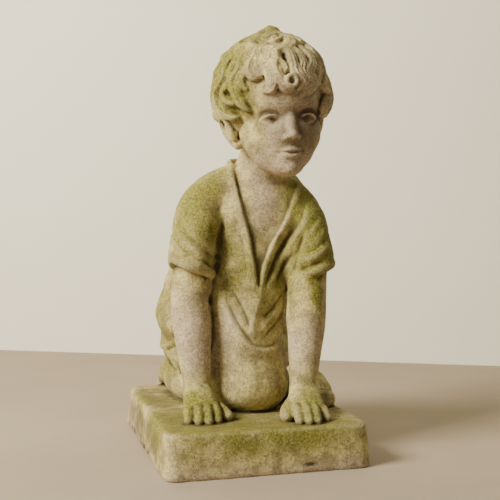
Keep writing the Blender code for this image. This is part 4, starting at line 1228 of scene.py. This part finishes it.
def mark(skin, hollow):
    """Stores algae, clean stone, the brushed top and dirt with painted shade on the points, for the
    material.
    """
    points = skin.points
    up = np.clip(skin.normals()[:, 2], -1, 1)
    clean = reach(points, CLEAN)
    algae = ALGAE_LEAST + reach(points, ALGAE) + ALGAE_ON_TOP * np.clip(up, 0, 1) - ALGAE_WASHED * clean
    algae += heap(points, ALGAE_LUMPS)
    worn = falloff(points[:, 2] - FLOOR - WORN_HEIGHT, WORN_REACH)
    worn *= np.clip(WORN_LEAST + heap(points, WORN_LUMPS), 0, 1)
    worn[points[:, 0] > WORN_LESS_PAST] *= WORN_LESS
    face = falloff(gap_to(points, FACE_MIDDLE), FACE_REACH)
    in_hair = np.clip((points[:, 2] - HAIR_HEIGHT) / HAIR_START, 0, 1)
    lip_less_dirt_and_shade = falloff(gap_to(points, HEAD_ORIGIN + HEAD_FRAME @ UPPER_LIP), UPPER_LIP_REACH)
    kept = (1 - FACE_LESS_DIRT_AND_SHADE * face - HAIR_LESS_DIRT_AND_SHADE * in_hair) * (1 - UPPER_LIP_LESS_DIRT_AND_SHADE * lip_less_dirt_and_shade)
    # The darkening from the hollowness is partly dirt in creases and partly painted shade in creases, and
    # the rows of darker stone add painted shade and painted shadow.
    dirt_and_shade = hollow * kept + WORN * worn + reach(points, DIRT_AND_PAINTED_SHADE)
    top = np.clip(up * 4 - 3, 0, 1) * falloff(points[:, 2], 4)
    for name, value in {"algae": algae, "clean": clean, "dirt_and_shade": dirt_and_shade, "brushed": top}.items():
        stored = skin.mesh.attributes.new(name, "FLOAT", "POINT")
        stored.data.foreach_set("value", value.astype(np.float32))


# The brush strokes on the plinth's top: how often they come each way in a metre, and their turn.
BRUSH_SCALE = (40, 420, 40)
BRUSH_TURN = math.radians(38)


class Nodes:
    """Short names for the shader nodes of one material."""

    def __init__(self, name):
        self.material = bpy.data.materials.new(name)
        self.material.use_nodes = True
        self.tree = self.material.node_tree
        self.shader = self.tree.nodes["Principled BSDF"]
        self.place = self.tree.nodes.new("ShaderNodeTexCoord").outputs["Object"]

    def node(self, kind, settings=(), **inputs):
        made = self.tree.nodes.new(kind)
        for name, value in dict(settings).items():
            setattr(made, name, value)
        for name, value in inputs.items():
            self.set(made.inputs[name.replace("_", " ")], value)
        return made

    def set(self, socket, value):
        if isinstance(value, bpy.types.NodeSocket):
            self.tree.links.new(value, socket)
        else:
            socket.default_value = value

    def noise(self, scale, detail=4.0, roughness=0.6):
        made = self.node("ShaderNodeTexNoise", Vector=self.place, Scale=scale, Detail=detail)
        self.set(made.inputs["Roughness"], roughness)
        return made.outputs["Fac"]

    def cells(self, scale):
        made = self.node("ShaderNodeTexVoronoi", Vector=self.place, Scale=scale)
        return made.outputs["Distance"]

    def brushed(self, scale, turn):
        """Noise drawn out into strokes."""
        made = self.node("ShaderNodeMapping", Vector=self.place, Rotation=(0, 0, turn), Scale=scale)
        made = self.node("ShaderNodeTexNoise", Vector=made.outputs["Vector"], Scale=1.0, Detail=4.0)
        return made.outputs["Fac"]

    def value(self, name):
        return self.node("ShaderNodeAttribute", {"attribute_name": name}).outputs["Fac"]

    def math(self, operation, a, b=0.0):
        made = self.node("ShaderNodeMath", {"operation": operation})
        self.set(made.inputs[0], a)
        self.set(made.inputs[1], b)
        return made.outputs[0]

    def span(self, value, low, high, start=0.0, end=1.0):
        """The value, eased from low to high, as start to end."""
        made = self.node("ShaderNodeMapRange", {"interpolation_type": "SMOOTHSTEP"})
        names = ("Value", "From Min", "From Max", "To Min", "To Max")
        for name, number in zip(names, (value, low, high, start, end)):
            self.set(made.inputs[name], number)
        return made.outputs["Result"]

    def mix(self, share, a, b, blend="MIX"):
        made = self.node("ShaderNodeMix", {"data_type": "RGBA", "blend_type": blend})
        for index, value in ((0, share), (6, a), (7, b)):
            self.set(made.inputs[index], value)
        return made.outputs[2]

    def times(self, a, b):
        return self.math("MULTIPLY", a, b)

    def stirred(self, value, noise, amount):
        """The value, with a noise about its middle added."""
        return self.math("ADD", value, self.times(self.math("SUBTRACT", noise, 0.5), amount))

    def bump(self, height, strength, distance, normal=None):
        made = self.node("ShaderNodeBump", Height=height, Strength=strength, Distance=distance)
        if normal is not None:
            self.set(made.inputs["Normal"], normal)
        return made.outputs["Normal"]


# The stone's colours. A pair runs from its dark to its pale patches.
STONE = ((0.4, 0.32, 0.18, 1), (0.7, 0.59, 0.37, 1))
PINK = (0.47, 0.375, 0.26, 1)
GREEN = ((0.25, 0.215, 0.065, 1), (0.6, 0.52, 0.21, 1))
VIVID_GREEN = ((0.125, 0.13, 0.006, 1), (0.3, 0.28, 0.025, 1))
SHADE = ((0.6, 0.55, 0.5, 1), (1.12, 1.1, 1.08, 1))
# The dark colour of dirt and of painted shade: in creases, on the face's shaded side, on the plinth's left
# side and under the left foot.
DEEP_DIRT_AND_SHADE = (0.05, 0.03, 0.011, 1)
RUBBED_EDGE = (0.54, 0.46, 0.31, 1)
BRUSHED_DIRT = (0.12, 0.085, 0.03, 1)
SPECK = (0.045, 0.03, 0.014, 1)
GRAIN = (0.52, 0.44, 0.31, 1)
# How many cells of each kind there are in a metre.
PATCH_SCALE = 14
BROAD_SCALE = 42
MOTTLE_SCALE = 300
FINE_SCALE = 420
SPECK_SCALE = 620
HOLE_SCALE = 260
GRAIN_SCALE = 1150
GRIT_SCALE = 1300
# How far the noises stir the limits of the algae and of the dirt with painted shade, and how much of the
# colour each can take.
STIR = 0.9
PINK_SHARE = 0.8
ALGAE_SHARE = 0.9
DIRT_AND_SHADE_SHARE = 0.86
EDGE_SHARE = 0.3
BRUSHED_SHARE = 0.6
SPECK_SHARE = 0.85
GRAIN_SHARE = 0.35


def old_stone():
    """Cast stone that stood outdoors: a tan and pinkish body, algae, dirt and painted shade, pits and
    grains.
    """
    n = Nodes("old cast stone")
    slow, broad, fine = n.noise(PATCH_SCALE, 5), n.noise(BROAD_SCALE, 6, 0.65), n.noise(FINE_SCALE, 4, 0.7)
    mottle = n.noise(MOTTLE_SCALE, 6, 0.75)
    stone = n.mix(n.span(broad, 0.3, 0.7), *STONE)
    pink = n.times(n.span(slow, 0.38, 0.6, 0.3, 1), n.span(n.value("clean"), 0.05, 0.8, 0.1, 1))
    stone = n.mix(n.times(pink, PINK_SHARE), stone, PINK)
    green = n.mix(n.span(broad, 0.36, 0.64), *GREEN)
    vivid = n.mix(n.span(fine, 0.4, 0.62), *VIVID_GREEN)
    green = n.mix(n.span(n.value("algae"), 0.85, 1.5), green, vivid)
    spread = n.stirred(n.stirred(n.value("algae"), broad, STIR), mottle, STIR)
    colour = n.mix(n.span(spread, 0.05, 1.0, 0, ALGAE_SHARE), stone, green)
    colour = n.mix(1.0, colour, n.mix(n.span(mottle, 0.34, 0.6), *SHADE), "MULTIPLY")
    # This darkening is dirt together with painted shade: in creases, on the shaded side of the face, on the
    # plinth's left side and under the left foot.
    dirt_and_shade = n.stirred(n.value("dirt_and_shade"), mottle, STIR)
    colour = n.mix(n.span(dirt_and_shade, 0.15, 1.3, 0, DIRT_AND_SHADE_SHARE), colour, DEEP_DIRT_AND_SHADE)
    colour = n.mix(n.span(dirt_and_shade, -0.3, -1.3, 0, EDGE_SHARE), colour, RUBBED_EDGE)
    strokes = n.times(n.span(n.brushed(BRUSH_SCALE, BRUSH_TURN), 0.42, 0.58), n.value("brushed"))
    colour = n.mix(n.times(strokes, BRUSHED_SHARE), colour, BRUSHED_DIRT)
    specks = n.times(n.span(n.cells(SPECK_SCALE), 0.4, 0.2), n.span(n.noise(90, 3), 0.34, 0.56))
    holes = n.times(n.span(n.cells(HOLE_SCALE), 0.22, 0.1), n.span(n.noise(60, 3), 0.45, 0.58))
    specks = n.math("MAXIMUM", specks, holes)
    colour = n.mix(n.times(specks, SPECK_SHARE), colour, SPECK)
    grains = n.times(n.span(n.cells(GRAIN_SCALE), 0.24, 0.12), GRAIN_SHARE)
    n.set(n.shader.inputs["Base Color"], n.mix(grains, colour, GRAIN))
    n.set(n.shader.inputs["Roughness"], n.span(fine, 0.3, 0.7, 0.82, 0.96))
    n.shader.inputs["Metallic"].default_value = 0
    n.shader.inputs["Specular IOR Level"].default_value = 0.25
    grit = n.bump(n.noise(GRIT_SCALE, 3, 0.7), 0.45, 0.0006)
    rough = n.bump(mottle, 0.5, 0.0016, grit)
    scored = n.bump(strokes, -0.5, 0.001, rough)
    n.set(n.shader.inputs["Normal"], n.bump(specks, -0.6, 0.001, scored))
    return n.material


def plain(name, low, high, scale, roughness):
    """A quiet surface for the wall or the table, with a little variation."""
    n = Nodes(name)
    n.set(n.shader.inputs["Base Color"], n.mix(n.span(n.noise(scale, 5), 0.3, 0.7), low, high))
    n.shader.inputs["Roughness"].default_value = roughness
    n.shader.inputs["Specular IOR Level"].default_value = 0.1
    n.set(n.shader.inputs["Normal"], n.bump(n.noise(scale * 60, 4), 0.15, 0.001))
    return n.material


def linked(name, data):
    thing = bpy.data.objects.new(name, data)
    bpy.context.scene.collection.objects.link(thing)
    return thing


def flat(name, width, depth, matrix, material):
    forms = bmesh.new()
    sized = Matrix.Diagonal((width, depth, 1, 1))
    bmesh.ops.create_grid(forms, x_segments=4, y_segments=4, size=0.5, matrix=sized)
    mesh = bpy.data.meshes.new(name)
    forms.to_mesh(mesh)
    mesh.transform(matrix)
    mesh.materials.append(material)
    return linked(name, mesh)


def aimed(thing, place, target):
    thing.location = place
    thing.rotation_mode = "QUATERNION"
    thing.rotation_quaternion = (Vector(target) - Vector(place)).to_track_quat("-Z", "Y")
    return thing


def lamp(name, place, target, size, power, colour):
    light = bpy.data.lights.new(name, "AREA")
    light.shape = "RECTANGLE"
    light.size, light.size_y = size
    light.energy = power
    light.color = colour
    return aimed(linked(name, light), place, target)


CAMERA_PLACE = (-0.312, -1.196, 0.312)
CAMERA_YAW = math.radians(15.44)
CAMERA_FALL = math.radians(2.14)
# The focal length in picture widths.
CAMERA_FOCUS = 1.8
SENSOR_WIDTH = 36
WALL_DISTANCE = 1.974
WALL_YAW = math.radians(-27)
# Each from its dark to its pale patches.
TABLE = ((0.33, 0.268, 0.185, 1), (0.365, 0.3, 0.212, 1))
WALL = ((0.84, 0.79, 0.63, 1), (0.88, 0.83, 0.67, 1))
# A name, a place, what it is aimed at, a size, a power in watts and a colour.
LAMPS = (
    ("key", (-2.2, -0.7, 1.8), (0, 0, 0.3), (1.1, 1.1), 190, (1, 0.955, 0.86)),
    ("back", (0.3, 0.9, 1.9), (0.6, 1.9, 0.5), (1.2, 0.6), 66, (1, 0.955, 0.82)),
    ("fill", (1.3, -1.9, 0.9), (0, 0, 0.25), (1.6, 1.6), 2, (1, 0.97, 0.93)),
)
ROOM_COLOUR = (1, 0.94, 0.83, 1)
ROOM_STRENGTH = 0.2


def camera():
    lens = bpy.data.cameras.new("photo camera")
    lens.sensor_width = SENSOR_WIDTH
    lens.lens = CAMERA_FOCUS * SENSOR_WIDTH
    level = math.cos(CAMERA_FALL)
    ahead = Vector((math.sin(CAMERA_YAW) * level, math.cos(CAMERA_YAW) * level, -math.sin(CAMERA_FALL)))
    thing = aimed(linked("photo camera", lens), CAMERA_PLACE, Vector(CAMERA_PLACE) + ahead)
    bpy.context.scene.camera = thing


def surroundings():
    """A pale table and wall, with soft light from the front left."""
    table = plain("table", *TABLE, 3, 0.8)
    wall = plain("wall", *WALL, 2, 0.9)
    centre = Vector(CAMERA_PLACE) + WALL_DISTANCE * Vector((math.sin(CAMERA_YAW), math.cos(CAMERA_YAW), 0))
    stand = Matrix.Translation((centre.x, centre.y, 0)) @ Matrix.Rotation(WALL_YAW, 4, "Z")
    upright = stand @ Matrix.Translation((0, 0, 1.5)) @ Matrix.Rotation(math.pi / 2, 4, "X")
    flat("table", 6, 6, stand @ Matrix.Translation((0, -3, 0)), table)
    flat("wall", 6, 3, upright, wall)
    for row in LAMPS:
        lamp(*row)
    world = bpy.data.worlds.new("room")
    world.use_nodes = True
    background = world.node_tree.nodes["Background"]
    background.inputs["Color"].default_value = ROOM_COLOUR
    background.inputs["Strength"].default_value = ROOM_STRENGTH
    bpy.context.scene.world = world


def build():
    skin, hollow = statue()
    mark(skin, hollow)
    mesh = skin.store()
    mesh.transform(placing((0, 0, PLINTH_HEIGHT), np.eye(3), UNIT))
    for face in mesh.polygons:
        face.use_smooth = True
    mesh.materials.append(old_stone())
    child = linked("weathered_kneeling_child", mesh)
    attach(child, "root")
    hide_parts(NODE)
    surroundings()
    camera()


build()
